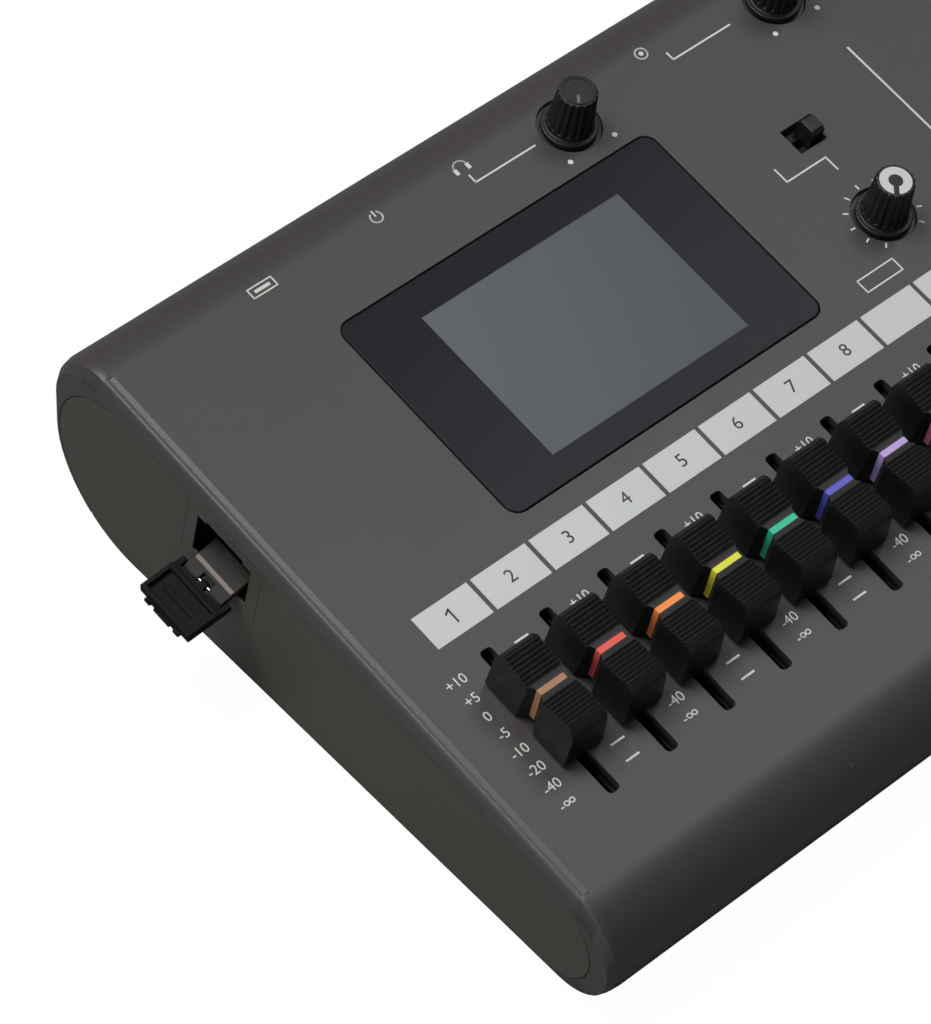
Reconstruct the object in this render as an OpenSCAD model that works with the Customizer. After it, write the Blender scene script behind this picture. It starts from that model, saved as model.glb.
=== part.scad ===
// Digital multitrack recorder: a wedge-shaped desk unit with ten channel faders, a touch screen,
// rotary controls, slide switches, transport keys and a memory-card bay in its left side.

/* [Case] */
// Width of the case from side to side
case_w = 253; // [246:1:290]
// Depth of the case from front to back
case_d = 154.5; // [152:0.5:170]
// Height of the control panel above the underside at mid depth
case_h = 34.9; // [34:0.1:39]
// Slope of the control panel, front edge down
tilt = 8.2; // [7.5:0.1:9]
// Radius of the lower back
back_r = 23.2; // [22:0.1:24]
// Radius where the panel turns into the back
back_top_r = 12.3; // [11:0.1:14]
// Wall thickness of the two covers and of the control panel
wall = 2.4; // [2:0.1:2.8]
// Width and depth of the shoulder at each side
shoulder = 3.3; // [2.8:0.1:3.6]
// Depth of the shoulder's step below the panel
shoulder_step = 0.45; // [0.3:0.05:0.7]
// Distance of the shoulder's outer edge from the side
shoulder_edge = 1.4; // [1:0.1:1.8]
// How far the sides draw in at the front and the back
side_round = 1.2; // [0.6:0.1:1.5]
// Height of the parting line between the covers, above the underside
parting_h = 4; // [3.4:0.1:4.6]
// Height of the base cover's front lip, above the underside
front_lip_h = 10; // [8:0.5:11]

/* [Side panels] */
// Thickness of the side panels
side_t = 2.2; // [1.8:0.1:2.6]
// Width of the rim that frames a side panel
side_rim = 0.5; // [0.3:0.1:0.8]
// Width of the ledge behind a side panel
side_ledge = 1; // [0.8:0.1:1.4]
// Distance of a side panel's front end from the case's front
side_front = 5.6; // [5:0.1:6.5]
// Distance of a side panel's back end from the case's back
side_back = 1.9; // [1.6:0.1:2.4]
// Radius of a side panel's upper back corner
side_corner_r = 17.2; // [15:0.1:18]

/* [Screen] */
// Distance of the picture's front edge from the back
screen_back = 73.55; // [72:0.05:75]
// Distance of the picture's left edge from the left side
screen_u = 57.8; // [55:0.1:60]
// Width of the picture
screen_w = 49.3; // [46:0.1:52]
// Depth of the picture
screen_d = 37; // [34:0.1:39]
// Glass border beside the picture
glass_side = 14.5; // [12:0.1:16]
// Glass border in front of the picture
glass_front = 5.9; // [5:0.1:7]
// Glass border behind the picture
glass_back = 7.5; // [6:0.1:8.5]
// Thickness of the glass
glass_t = 1.2; // [0.8:0.1:1.4]
// Corner radius of the glass
glass_r = 2.6; // [1.5:0.1:4]
// Thickness of the display module
lcd_t = 3.4; // [2.5:0.1:4.5]

/* [Faders] */
// Distance of the first fader from the left side
fader_u = 20.5; // [19.5:0.1:22]
// Distance between faders
fader_pitch = 14; // [13.6:0.1:14.4]
// Distance of the fader slots' middle from the panel's front edge
fader_front = 29.55; // [29:0.05:30.5]
// Travel of a fader
fader_travel = 30; // [26:1:32]
// How far back from mid travel the faders stand
fader_rest = 1.7; // [-4:0.1:4]
// Width of a fader slot
slot_w = 2.7; // [2.2:0.1:3.2]
// Length of a fader lever along the slot
lever_l = 4; // [3:0.1:5]
// Thickness of a fader lever
lever_t = 1.2; // [0.8:0.1:1.6]
// Length of a fader cap at its base
cap_l = 21.2; // [20.4:0.1:23]
// Length of a fader cap between its top edges
cap_top_l = 18.8; // [17:0.1:19.5]
// Width of a fader cap at its base
cap_w = 9.4; // [8.8:0.1:11]
// Width of a fader cap at its top
cap_top_w = 8; // [7:0.1:8.6]
// Height of a fader cap's ends above the panel
cap_h = 11.6; // [10:0.1:13]
// How far the middle of a cap lies below its ends
cap_saddle = 1.5; // [1:0.1:2.5]
// Width of the line across a cap
cap_line_w = 1.3; // [0.8:0.1:1.8]
// Depth of the notch in a cap's sides, at the line
cap_notch = 1.1; // [0.8:0.1:1.4]
// Half length of the notch in a cap's sides
cap_notch_l = 2.2; // [1.6:0.1:3]
// Height above the panel where the notch runs out
cap_notch_h = 4; // [3:0.1:5]
// Fall of the steep facet beyond a cap's crests
cap_facet = 3; // [2:0.1:4]
// Reach of the steep facet beyond a cap's crests
cap_facet_out = 1; // [0.5:0.1:1.3]

/* [Knobs] */
// Distance of the headphone level knob from the left side
phones_u = 110.4; // [108:0.1:112]
// Distance of the output level knob from the left side
output_u = 164.6; // [162:0.1:167]
// Row of the rear knobs, behind the picture's front edge
knob_row_v = 54.6; // [53.5:0.1:55]
// Row of the balance knob
balance_v = 3.8; // [2:0.1:6]
// Place of the first gain knob across the key block, from 0 to 1
gain_a_share = 0.215; // [0.2:0.005:0.25]
// Place of the second gain knob across the key block, from 0 to 1
gain_b_share = 0.74; // [0.7:0.005:0.8]
// Diameter of a knob's skirt
knob_skirt_d = 11.4; // [10:0.1:12]
// Diameter of a knob at the foot of its taper
knob_d = 9.4; // [8.6:0.1:9.8]
// Diameter of a knob's top
knob_top_d = 7.8; // [7:0.1:8.4]
// Height of a knob above the panel
knob_h = 10.6; // [9:0.1:12]
// Diameter of the stem that turns in the potentiometer
knob_stem_d = 6; // [5:0.1:6.4]
// Depth of the well around a knob
well_depth = 1; // [0.6:0.1:1.2]
// Angle between the two ends of a knob's turn
knob_turn = 280; // [260:5:300]

/* [Switches and keys] */
// Row of the slide switches
switch_v = 26.5; // [25:0.1:28]
// Length of a slide switch window
switch_window_l = 6.8; // [6:0.1:7.4]
// Width of a slide switch window
switch_window_w = 6.2; // [5.6:0.1:6.6]
// Width of a slide switch tip
switch_tip_w = 4.6; // [4:0.1:4.8]
// Travel of a slide switch
switch_travel = 3; // [2:0.1:3.2]
// Height of a slide switch tip above the panel
switch_tip_h = 2.8; // [2:0.1:3.6]
// Distance of the key block from the last fader
key_left = 30.5; // [29:0.5:32]
// Depth of a transport key
key_d = 12; // [10:0.5:13]
// Gap between transport keys
key_gap = 4; // [3.5:0.5:5]
// Distance of the key block from the right side
key_right = 11; // [9:0.5:12]
// Distance of the front key row from the panel's front edge
key_front = 14.75; // [14:0.25:17]
// Height of a key above the panel
key_h = 2.4; // [1.6:0.1:3]
// Travel of a key
key_travel = 0.8; // [0.5:0.1:1]

/* [Card bay] */
// Front end of the card bay, behind the picture's front edge
bay_v = 15.7; // [14:0.1:17]
// Length of the card bay
bay_l = 15; // [14:0.1:16]
// Depth of the card bay's top edge below the panel
bay_top = 6.4; // [6.1:0.1:6.8]
// Height of the card bay
bay_h = 11.1; // [10.6:0.1:11.6]
// Wall of the card housing around its mouth
bay_wall = 2.8; // [2.6:0.1:3]
// Thickness of the cover plate
cover_t = 1.6; // [1.3:0.1:1.8]
// Droop of the open cover below the level of the panel
cover_droop = 8; // [0:1:15]
// Slope of the strap that carries the cover
strap_slope = 19; // [15:1:22]
// Slide of the strap between open and closed
strap_travel = 4.2; // [3.8:0.1:4.6]
// Thickness of the strap
strap_t = 1.5; // [1.2:0.1:1.6]
// Diameter of the cover's hinge pin
cover_pin_d = 0.9; // [0.7:0.1:1]

/* [Rear sockets] */
// Distance of the jack panel's face from the back
rear_inset = 10.75; // [10.25:0.05:11.5]
// Thickness of the jack panel
rear_t = 2; // [1.5:0.1:2.4]
// Distance of the jack bay's ends from the sides
rear_end = 20; // [17:0.5:22]
// Height of the jack bay's roof above the underside
rear_roof = 34.5; // [34:0.1:35]
// Diameter of a jack's bore
jack_bore_d = 6.5; // [6.4:0.05:6.6]
// Depth of a jack's bore
jack_bore_l = 24; // [22:0.5:26]
// Diameter of a combined input socket
combo_d = 23.6; // [22:0.1:24]
// Height of the jack axes above the underside
jack_z = 17.5; // [17:0.1:18]

/* [Base] */
// Height of the rubber feet below the case
foot_h = 1; // [0.8:0.1:3]
// Diameter of a foot
foot_d = 12; // [9:0.5:13]
// Diameter of a battery cell
cell_d = 14.5; // [14:0.1:14.6]
// Length of a battery cell
cell_l = 50.5; // [49:0.1:50.8]
// Thickness of the circuit boards
board_t = 1.6; // [1:0.1:1.8]

/* [Clearances] */
// Gap between parts that are fixed to each other
fit_gap = 0.15; // [0.1:0.01:0.2]
// Gap around parts that move
run_gap = 0.3; // [0.2:0.01:0.35]
// Gap between a turning pin or stem and its bore
turn_gap = 0.1; // [0.05:0.01:0.15]
// Gap of the seam between the covers along the front
seam_gap = 0.3; // [0.2:0.01:0.4]

/* [Hidden] */

// Fineness of round parts and of the case's curves
$fn = 48;
arc_steps = 28;
// Reach of a cut past the face that it opens
cut = 1;

// Cover at rest, in panel directions: u from the left side, v to the back, w out of the panel
bay_floor = -bay_top - bay_h;
pin_inside = cover_t / 2;
pin_w = bay_floor + strap_t / 2 / cos(strap_slope) + pin_inside * tan(strap_slope) + run_gap;
pin_out = pin_inside - strap_travel * cos(strap_slope);
pin_out_w = pin_w - strap_travel * sin(strap_slope);
cover_l = bay_l - 4 * run_gap;
cover_top = -bay_top - run_gap - pin_w;
cover_lip = 0.8;
cover_lip_l = cover_l - 4;
pin_v = bay_v + bay_l / 2;
cover_reach = (cover_top + cover_lip) * cos(cover_droop) + pin_inside * sin(cover_droop) - pin_out;

// Case outline in the Y-Z plane; the origin lies under the middle of the whole object
left_x = -(case_w - cover_reach) / 2;
screen_y = case_d / 2 - screen_back;
panel_z = panel_at(screen_y);
panel_fall = case_h - case_d / 2 * tan(tilt);
front_r = panel_fall * cos(tilt) / (1 + cos(tilt) - sin(tilt));
front_c = [-case_d / 2 + front_r, foot_h + front_r];
back_c = [case_d / 2 - back_r, foot_h + back_r];
back_top_y = case_d / 2 - back_top_r;
back_top_c = [back_top_y, panel_at(back_top_y) - back_top_r / cos(tilt)];
panel_front_v = (front_c[0] - front_r * sin(tilt) - screen_y) / cos(tilt);
panel_back_v = (back_top_y - back_top_r * sin(tilt) - screen_y) / cos(tilt);
parting_z = foot_h + parting_h;
floor_z = foot_h + wall;
front_lip_u = 1.6;
front_lip_d = front_r - sqrt(pow(front_r - wall, 2) - pow(front_r - parting_h, 2)) + 0.5;
rim_drop = shoulder + side_rim;
bay_crown = (bay_top + cover_lip - rim_drop) / 2;
bay_flange = 0.8;
bay_depth = 6;
shoulder_draw = side_round / 4;
shoulder_fall = shoulder_step / 3;
side_bottom_z = foot_h + side_rim;
side_front_y = -case_d / 2 + side_front;
side_rise = foot_h + case_h + side_front_y * tan(tilt) - side_bottom_z;
side_front_r = (side_rise * cos(tilt) - rim_drop) / (1 + cos(tilt) - sin(tilt));
side_front_c = [side_front_y + side_front_r, side_bottom_z + side_front_r];
side_top_y = case_d / 2 - side_back - side_corner_r;
side_top_c = [side_top_y, panel_at(side_top_y) - (rim_drop + side_corner_r) / cos(tilt)];
side_back_r = side_top_c[1] - side_bottom_z;
side_back_c = [case_d / 2 - side_back - side_back_r, side_top_c[1]];
ledge_u = side_t + fit_gap + wall;

function arc(c, r, a0, a1, n) =
    [for (i = [0:n]) let (a = a0 + (a1 - a0) * i / n) c + r * [cos(a), sin(a)]];
function outline(inset) = concat(
    arc(front_c, front_r - inset, 90 + tilt, 270, arc_steps),
    arc(back_c, back_r - inset, -90, 0, arc_steps / 2),
    arc(back_top_c, back_top_r - inset, 0, 90 + tilt, arc_steps / 2)
);
function side_outline(inset) = concat(
    arc(side_front_c, side_front_r - inset, 90 + tilt, 270, arc_steps),
    arc(side_back_c, side_back_r - inset, -90, 0, arc_steps / 2),
    arc(side_top_c, side_corner_r - inset, 0, 90 + tilt, arc_steps / 2)
);
function panel_at(y) = foot_h + case_h + y * tan(tilt);

// Whole glass of the screen
glass_w = screen_w + 2 * glass_side;
glass_d = screen_d + glass_front + glass_back;

// Electronics under the panel
board_top = -wall - 7.1;
board_front = panel_front_v + 4.7;
board_back = knob_row_v + 4.2;
board_margin = 9;
fader_body_w = 8.5;
fader_body_l = fader_travel + 15;
fader_body_h = 6.4;
slot_l = fader_travel + lever_l + 2 * run_gap + 0.7;
fader_v = panel_front_v + fader_front;
fader_home = fader_v + fader_rest;
faders = 10;
cap_base = 0.7;
cap_line_depth = 0.4;
cap_strip = 1.2;
cap_crest = 0.3;
rib_depth = 0.5;
ribs = 8;
master_u = fader_u + (faders - 1) * fader_pitch;
knob_well_r = knob_skirt_d / 2 + 0.8;
key_u = master_u + key_left;
key_block_w = case_w - key_right - key_u;
key_w = (key_block_w - 2 * key_gap) / 3;
gain_u = [key_u + gain_a_share * key_block_w, key_u + gain_b_share * key_block_w];
knob_places = [
    [phones_u, knob_row_v], [output_u, knob_row_v], [master_u, balance_v],
    [gain_u[0], knob_row_v], [gain_u[1], knob_row_v]
];
pot_w = 9.6;
pot_h = 6.4;
switch_places = [
    [master_u, switch_v], [gain_u[0], switch_v], [gain_u[1], switch_v]
];
switch_tip_l = switch_window_l - switch_travel - 2 * run_gap;
switch_body_l = switch_window_l + 3;
switch_body_w = switch_window_w + 1.4;
tongue_t = 1.2;
tongue_reach = 2;
key_pitch = key_w + key_gap;
key_v = panel_front_v + key_front;
key_back_v = key_v + key_d + key_gap + 6;
key_places = [
    [key_u + key_w / 2 + key_pitch / 2, key_back_v + key_d / 2],
    [key_u + key_w / 2 + key_pitch * 3 / 2, key_back_v + key_d / 2],
    [key_u + key_w / 2, key_v + key_d / 2],
    [key_u + key_w / 2 + key_pitch, key_v + key_d / 2],
    [key_u + key_w / 2 + key_pitch * 2, key_v + key_d / 2]
];
key_r = 1.6;
key_flange = 0.9;
tact_h = 3.5;
tact_w = 6.2;
plunger_h = 0.9;

// Rear sockets, at shares of the jack bay's length
rear_y = case_d / 2 - rear_inset;
rear_w = case_w - 2 * rear_end;
usb_u = rear_end + 0.085 * rear_w;
power_u = rear_end + 0.225 * rear_w;
phone_jack_u = [for (share = [0.36, 0.53, 0.63]) rear_end + share * rear_w];
combo_u = [for (share = [0.79, 0.94]) rear_end + share * rear_w];
rear_roof_z = foot_h + rear_roof;
rear_web_t = 2;
jack_board_h = 3.9;
jack_board_d = 24.8;
jack_board_gap = 5.2;
jack_board_side = 2;
jack_board_z = foot_h + jack_board_h;
jack_board_top = jack_board_z + board_t;
jack_board_back = rear_y - jack_board_gap;
jack_board_front = jack_board_back - jack_board_d;
jack_axis_z = foot_h + jack_z;
jack_nose_d = 9;
jack_nose = 0.6;
jack_body_w = 14;
jack_body_l = jack_bore_l + 3;
jack_body_h = 18;
combo_l = 23;
combo_room = 1.4;
board_low_z = panel_at(rear_y - rear_t - fit_gap - combo_l) - (board_t - board_top) / cos(tilt);
combo_body_h = board_low_z - combo_room - jack_board_top;
usb_w = 9;
usb_h = 3.2;
usb_l = 7.6;
usb_z = jack_board_top + usb_h / 2;
power_z = jack_board_top + switch_body_w / 2;
rear_inner = rear_y - rear_t - fit_gap;

// Battery compartment
cells = 4;
tray_wall = 1.5;
tray_u = 22;
tray_w = cells * cell_d + 2 * run_gap + 1;
tray_back = 16;
cell_tip_d = 5.5;
cell_tip_l = 1.2;
screw_l = 9;
tray_d = cell_l + 4;
tray_y = rear_y - tray_back - tray_d;
tray_h = cell_d + 0.8;
door_t = wall;
door_w = tray_w;
door_d = tray_d;
door_bead_r = door_t / 2;
contact_t = 0.5;
contact_h = 9;
cell_z = floor_z + run_gap + cell_d / 2;
function cell_u(i) = tray_u + tray_w / 2 + (i - (cells - 1) / 2) * (cell_d + 0.2);

// Fastenings: pillars from u and y, posts from u and v
screw_r = 1.4;
screw_head_r = 2.6;
screw_head_h = 1.6;
pillar_r = 3.6;
pillar_gap = 0.2;
pillar_front = -case_d / 2 + 14;
pillars = [
    [24, pillar_front], [case_w / 2, pillar_front], [case_w - 24, pillar_front],
    [14.5, screen_y], [126.5, screen_y + 27.3], [case_w - 14.5, screen_y]
];
post_r = 2.2;
post_pilot_r = 1;
post_front_v = fader_v + fader_body_l / 2 + 8.7;
post_back_v = knob_row_v - 12.6;
posts = [
    [14.5, post_front_v], [131, post_front_v], [170, post_front_v],
    [30, post_back_v], [131, post_back_v], [170, post_back_v], [case_w - 11, 20]
];
jack_posts = [
    [rear_end + 0.038 * rear_w, rear_y - 9.5], [rear_end + 0.29 * rear_w, rear_y - 9.5],
    [rear_end + 0.442 * rear_w, rear_y - 21.5], [rear_end + 0.705 * rear_w, rear_y - 21.5],
    [case_w - 16, rear_y - 21.5]
];
jack_post_r = 2.5;
feet = [
    [12, -case_d / 2 + 22], [case_w - 12, -case_d / 2 + 22], [12, rear_y - 22.5], [case_w - 12, rear_y - 22.5]
];
foot_recess = 0.8;

// Places
module on_panel(u, v, w = 0) {
    translate([left_x, screen_y, panel_z]) rotate([tilt, 0, 0]) translate([u, v, w]) children();
}
module from_left(u, y, z) {
    translate([left_x + u, y, z]) children();
}
module slab(u0, u1, inset) {
    from_left(u0, 0, 0) rotate([90, 0, 90]) linear_extrude(u1 - u0) polygon(outline(inset));
}
// A slab whose top lies lower by drop, with its ends drawn in by draw
module side_slab(u0, u1, drop, draw) {
    from_left(u0, 0, 0) rotate([90, 0, 90]) linear_extrude(u1 - u0) intersection() {
        translate([0, -draw]) polygon(outline(draw));
        translate([drop * sin(tilt), -drop * cos(tilt)]) polygon(outline(0));
    }
}
// A slab in the side panels' outline
module panel_slab(u0, u1, inset) {
    from_left(u0, 0, 0) rotate([90, 0, 90]) linear_extrude(u1 - u0) polygon(side_outline(inset));
}
module block(size) {
    translate([-size[0] / 2, -size[1] / 2, 0]) cube(size);
}
module round_block(size, r) {
    hull() for (x = [-1, 1], y = [-1, 1])
        translate([x * (size[0] / 2 - r), y * (size[1] / 2 - r), 0]) cylinder(r = r, h = size[2], $fn = 24);
}
module toward_back() {
    rotate([-90, 0, 0]) children();
}

// Case
module case_outer() {
    difference() {
        hull() {
            slab(shoulder, case_w - shoulder, 0);
            side_slab(shoulder_edge, case_w - shoulder_edge, shoulder_fall, shoulder_draw);
            side_slab(0, case_w, shoulder, side_round);
        }
        for (u = [-cut, case_w - shoulder])
            on_panel(u, panel_front_v, -shoulder_step)
                cube([shoulder + cut, panel_back_v - panel_front_v, shoulder_step + cut]);
    }
}
module case_hollow() {
    slab(ledge_u, case_w - ledge_u, wall);
    intersection() {
        panel_slab(-cut, case_w + cut, fit_gap + side_ledge);
        slab(-cut, case_w + cut, wall);
    }
    for (u = [-cut, case_w - side_t - fit_gap])
        panel_slab(u, u + side_t + fit_gap + cut, 0);
}
module front_lip(grow = 0) {
    wide = case_w - 2 * front_lip_u + 2 * grow;
    from_left(front_lip_u - grow, -case_d, 0)
        cube([wide, case_d / 2 + front_lip_d + grow, foot_h + front_lip_h + grow]);
}
module rear_bay(grow = 0) {
    from_left(rear_end - grow, rear_y, foot_h)
        cube([case_w - 2 * rear_end + 2 * grow, back_r, rear_roof]);
}
module rear_seat() {
    from_left(rear_end - wall - fit_gap, rear_y - rear_t - fit_gap, parting_z)
        cube([case_w - 2 * rear_end + 2 * wall + 2 * fit_gap, rear_t + fit_gap, rear_roof - parting_h]);
}
module panel_openings() {
    on_panel(screen_u - glass_side - fit_gap * 2, -glass_front - fit_gap * 2, -glass_t - fit_gap)
        cube([glass_w + fit_gap * 4, glass_d + fit_gap * 4, wall + cut]);
    on_panel(screen_u - glass_front, -glass_front + 2, -wall - cut)
        cube([screen_w + 2 * glass_front, glass_d - 4, wall + cut]);
    for (i = [0:faders - 1])
        on_panel(fader_u + i * fader_pitch, fader_v, -wall - cut) block([slot_w, slot_l, wall + 2 * cut]);
    for (p = knob_places) {
        on_panel(p[0], p[1], -well_depth) cylinder(r = knob_well_r, h = well_depth + cut);
        on_panel(p[0], p[1], -wall - cut) cylinder(d = knob_stem_d + 2 * run_gap, h = wall + cut);
    }
    for (p = switch_places)
        on_panel(p[0], p[1], -wall - cut) block([switch_window_l, switch_window_w, wall + 2 * cut]);
    for (p = key_places)
        on_panel(p[0], p[1], -wall - cut) block([key_w + 2 * run_gap, key_d + 2 * run_gap, wall + 2 * cut]);
}
module top_cover() {
    color("#55534f") difference() {
        union() {
            difference() {
                case_outer();
                case_hollow();
                rear_bay();
            }
            intersection() {
                case_outer();
                from_left(rear_end - wall, rear_inner, rear_roof_z)
                    cube([case_w - 2 * rear_end + 2 * wall, back_r, rear_web_t]);
            }
            for (p = pillars)
                from_left(p[0], p[1], parting_z + pillar_gap)
                    cylinder(r = pillar_r, h = panel_at(p[1]) - wall / 2 - parting_z - pillar_gap);
            for (p = posts)
                on_panel(p[0], p[1], board_top) cylinder(r = post_r, h = -wall / 2 - board_top);
        }
        from_left(-cut, -case_d, -case_d) cube([case_w + 2 * cut, 2 * case_d, case_d + parting_z]);
        front_lip(seam_gap);
        rear_seat();
        panel_openings();
        for (p = pillars)
            from_left(p[0], p[1], 0) cylinder(r = screw_r, h = parting_z + 10);
        for (p = posts)
            on_panel(p[0], p[1], board_top - cut) cylinder(r = post_pilot_r, h = 6 + cut);
    }
}
module tray_outside() {
    from_left(tray_u - tray_wall, tray_y - tray_wall, foot_h)
        cube([tray_w + 2 * tray_wall, tray_d + 2 * tray_wall, wall + tray_h + tray_wall]);
}
module bottom_cover() {
    color("#3c3b39") difference() {
        union() {
            intersection() {
                difference() {
                    case_outer();
                    case_hollow();
                }
                union() {
                    from_left(-cut, -case_d, 0) cube([case_w + 2 * cut, 2 * case_d, parting_z - fit_gap]);
                    front_lip();
                }
            }
            tray_outside();
            for (p = pillars)
                from_left(p[0], p[1], foot_h + wall / 2) cylinder(r = pillar_r, h = parting_h - wall / 2);
            for (p = jack_posts)
                from_left(p[0], p[1], foot_h + wall / 2)
                    cylinder(r = jack_post_r, h = jack_board_z - foot_h - wall / 2);
        }
        from_left(tray_u, tray_y, 0) cube([tray_w, tray_d, floor_z + tray_h]);
        from_left(tray_u, tray_y, foot_h + door_bead_r) rotate([0, 90, 0])
            cylinder(r = door_bead_r + run_gap / 2, h = tray_w);
        from_left(tray_u, tray_y - door_bead_r - run_gap / 2, 0)
            cube([tray_w, 2 * door_bead_r, foot_h + door_bead_r]);
        for (p = pillars) {
            from_left(p[0], p[1], 0) cylinder(r = screw_r + turn_gap, h = parting_z + cut);
            from_left(p[0], p[1], 0) cylinder(r = screw_head_r + fit_gap, h = foot_h + screw_head_h);
        }
        for (p = feet)
            from_left(p[0], p[1], 0) cylinder(d = foot_d + 2 * fit_gap, h = foot_h + foot_recess);
        rear_bay();
    }
}
module side_plate(u0) {
    panel_slab(u0, u0 + side_t, fit_gap);
}
module left_side_panel() {
    color("#474644") difference() {
        side_plate(0);
        on_panel(-cut, bay_v, bay_floor) housing_mouth(side_t + 2 * cut, turn_gap / 2);
    }
}
// Outside of the housing's mouth, from the bay's lower front corner
module housing_mouth(deep, grow) {
    translate([0, -bay_wall - grow, -bay_wall - grow])
        cube([deep, bay_l + 2 * bay_wall + 2 * grow, bay_h + bay_wall + bay_crown + 2 * grow]);
}
module card_housing() {
    color("#474644") difference() {
        union() {
            on_panel(0, bay_v, bay_floor) housing_mouth(side_t + bay_flange, 0);
            on_panel(side_t, bay_v - bay_wall - bay_flange, bay_floor - bay_wall - bay_flange)
                cube([bay_flange, bay_l + 2 * (bay_wall + bay_flange), bay_h + bay_wall + bay_flange + cover_lip]);
            on_panel(side_t, bay_v - tray_wall, bay_floor - tray_wall)
                cube([bay_depth, bay_l + 2 * tray_wall, bay_h + tray_wall + cover_lip]);
        }
        on_panel(-cut, bay_v, bay_floor) cube([side_t + bay_depth + 2 * cut, bay_l, bay_h]);
        on_panel(-cut, pin_v - cover_lip_l / 2 - run_gap, -bay_top - cut)
            cube([cut + cover_t / 2 + run_gap, cover_lip_l + 2 * run_gap, cut + cover_lip]);
        on_panel(side_t, bay_v - 2 * bay_wall, -bay_top + cover_lip)
            cube([2 * bay_depth, bay_l + 4 * bay_wall, bay_crown]);
    }
}
module right_side_panel() {
    color("#474644") side_plate(case_w - side_t);
}
module rear_panel() {
    color("#2b2b2b") difference() {
        from_left(rear_end - wall, rear_y - rear_t, parting_z)
            cube([case_w - 2 * rear_end + 2 * wall, rear_t, rear_roof - parting_h - fit_gap]);
        for (u = phone_jack_u)
            from_left(u, rear_inner - cut, jack_axis_z) toward_back()
                cylinder(d = jack_nose_d + 2 * fit_gap, h = rear_t + 2 * cut);
        for (u = combo_u)
            from_left(u, rear_inner - cut, jack_axis_z) toward_back()
                cylinder(d = combo_d + 2 * fit_gap, h = rear_t + 2 * cut);
        from_left(usb_u - usb_w / 2 - fit_gap, rear_inner - cut, usb_z - usb_h / 2 - fit_gap)
            cube([usb_w + 2 * fit_gap, rear_t + 2 * cut, usb_h + 2 * fit_gap]);
        from_left(power_u - switch_window_l / 2, rear_inner - cut, power_z - switch_window_w / 2)
            cube([switch_window_l, rear_t + 2 * cut, switch_window_w]);
    }
}

// Screen
module screen_glass() {
    color("#151517") on_panel(screen_u + screen_w / 2, (screen_d + glass_back - glass_front) / 2, -glass_t)
        round_block([glass_w, glass_d, glass_t], glass_r);
}
module lcd_module() {
    color("#6a6f73") on_panel(screen_u - glass_front + 1, -glass_front + 5, -glass_t - lcd_t)
        cube([screen_w + 2 * glass_front - 2, glass_d - 8, lcd_t]);
}

// Electronics
module main_board() {
    color("#2f5d3a") difference() {
        on_panel(board_margin, board_front, board_top - board_t)
            cube([case_w - 2 * board_margin, board_back - board_front, board_t]);
        for (p = pillars)
            from_left(p[0], p[1], 0) cylinder(r = pillar_r + cut, h = 2 * case_h);
        for (p = posts)
            on_panel(p[0], p[1], board_top - board_t - cut)
                cylinder(r = post_pilot_r + turn_gap, h = board_t + 2 * cut);
    }
}
module jack_board() {
    color("#2f5d3a") difference() {
        from_left(rear_end + jack_board_side, jack_board_front, jack_board_z)
            cube([rear_w - 2 * jack_board_side, jack_board_d, board_t]);
        from_left(0, 0, jack_board_z - cut)
            cube([tray_u + tray_w + tray_wall + cut, tray_y + tray_d + tray_wall + cut, board_t + 2 * cut]);
    }
}
module fader_bodies() {
    color("#8d8f90") for (i = [0:faders - 1]) difference() {
        on_panel(fader_u + i * fader_pitch, fader_v, board_top)
            block([fader_body_w, fader_body_l, fader_body_h]);
        on_panel(fader_u + i * fader_pitch, fader_v, board_top + 2)
            block([lever_t + 2 * run_gap, slot_l, fader_body_h]);
    }
}
module pot_bodies() {
    color("#8d8f90") for (p = knob_places) difference() {
        on_panel(p[0], p[1], board_top) block([pot_w, pot_w, pot_h]);
        on_panel(p[0], p[1], board_top + 1.5) cylinder(d = knob_stem_d + 2 * turn_gap, h = pot_h);
    }
}
module switch_body(h) {
    difference() {
        block([switch_body_l, switch_body_w, h]);
        translate([0, 0, h - tongue_reach - run_gap])
            block([switch_window_l, tongue_t + 2 * run_gap, tongue_reach + run_gap + cut]);
    }
}
module switch_bodies() {
    color("#8d8f90") {
        for (p = switch_places) on_panel(p[0], p[1], board_top) switch_body(-wall - fit_gap - board_top);
        from_left(power_u, rear_inner - 7, power_z) toward_back() switch_body(7 - fit_gap);
    }
}
module tact_switches() {
    color("#8d8f90") for (p = key_places) on_panel(p[0], p[1], board_top) {
        block([tact_w, tact_w, tact_h]);
        cylinder(d = 3.2, h = tact_h + plunger_h);
    }
}
module card_reader() {
    color("#b9bcbe") on_panel(board_margin + 0.5, bay_v + 0.6, board_top) difference() {
        cube([14.6, bay_l - 1.2, 2.1]);
        translate([-cut, 1, 0.6]) cube([12, bay_l - 3.2, 1]);
    }
}

// Card cover, hinged on a strap that slides out of the bay
strap_ear = 3.7;
strap_w = 10.6;
knuckle_w = 1.6;
module at_pin() {
    on_panel(pin_out, pin_v, pin_out_w) children();
}
module along_back(l) {
    translate([0, l / 2, 0]) rotate([90, 0, 0]) children();
}
module card_strap() {
    color("#4b4a48") at_pin() rotate([0, -strap_slope, 0]) difference() {
        union() {
            translate([strap_t, -strap_w / 2, -strap_t / 2]) cube([6, strap_w, strap_t]);
            for (s = [-1, 1]) translate([0, s * (strap_w - strap_ear) / 2, 0]) {
                along_back(strap_ear) cylinder(d = strap_t, h = strap_ear);
                translate([0, -strap_ear / 2, -strap_t / 2]) cube([strap_t + cut, strap_ear, strap_t]);
            }
        }
        along_back(strap_w + 2 * cut) cylinder(d = cover_pin_d + turn_gap / 2, h = strap_w + 2 * cut);
    }
}
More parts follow.
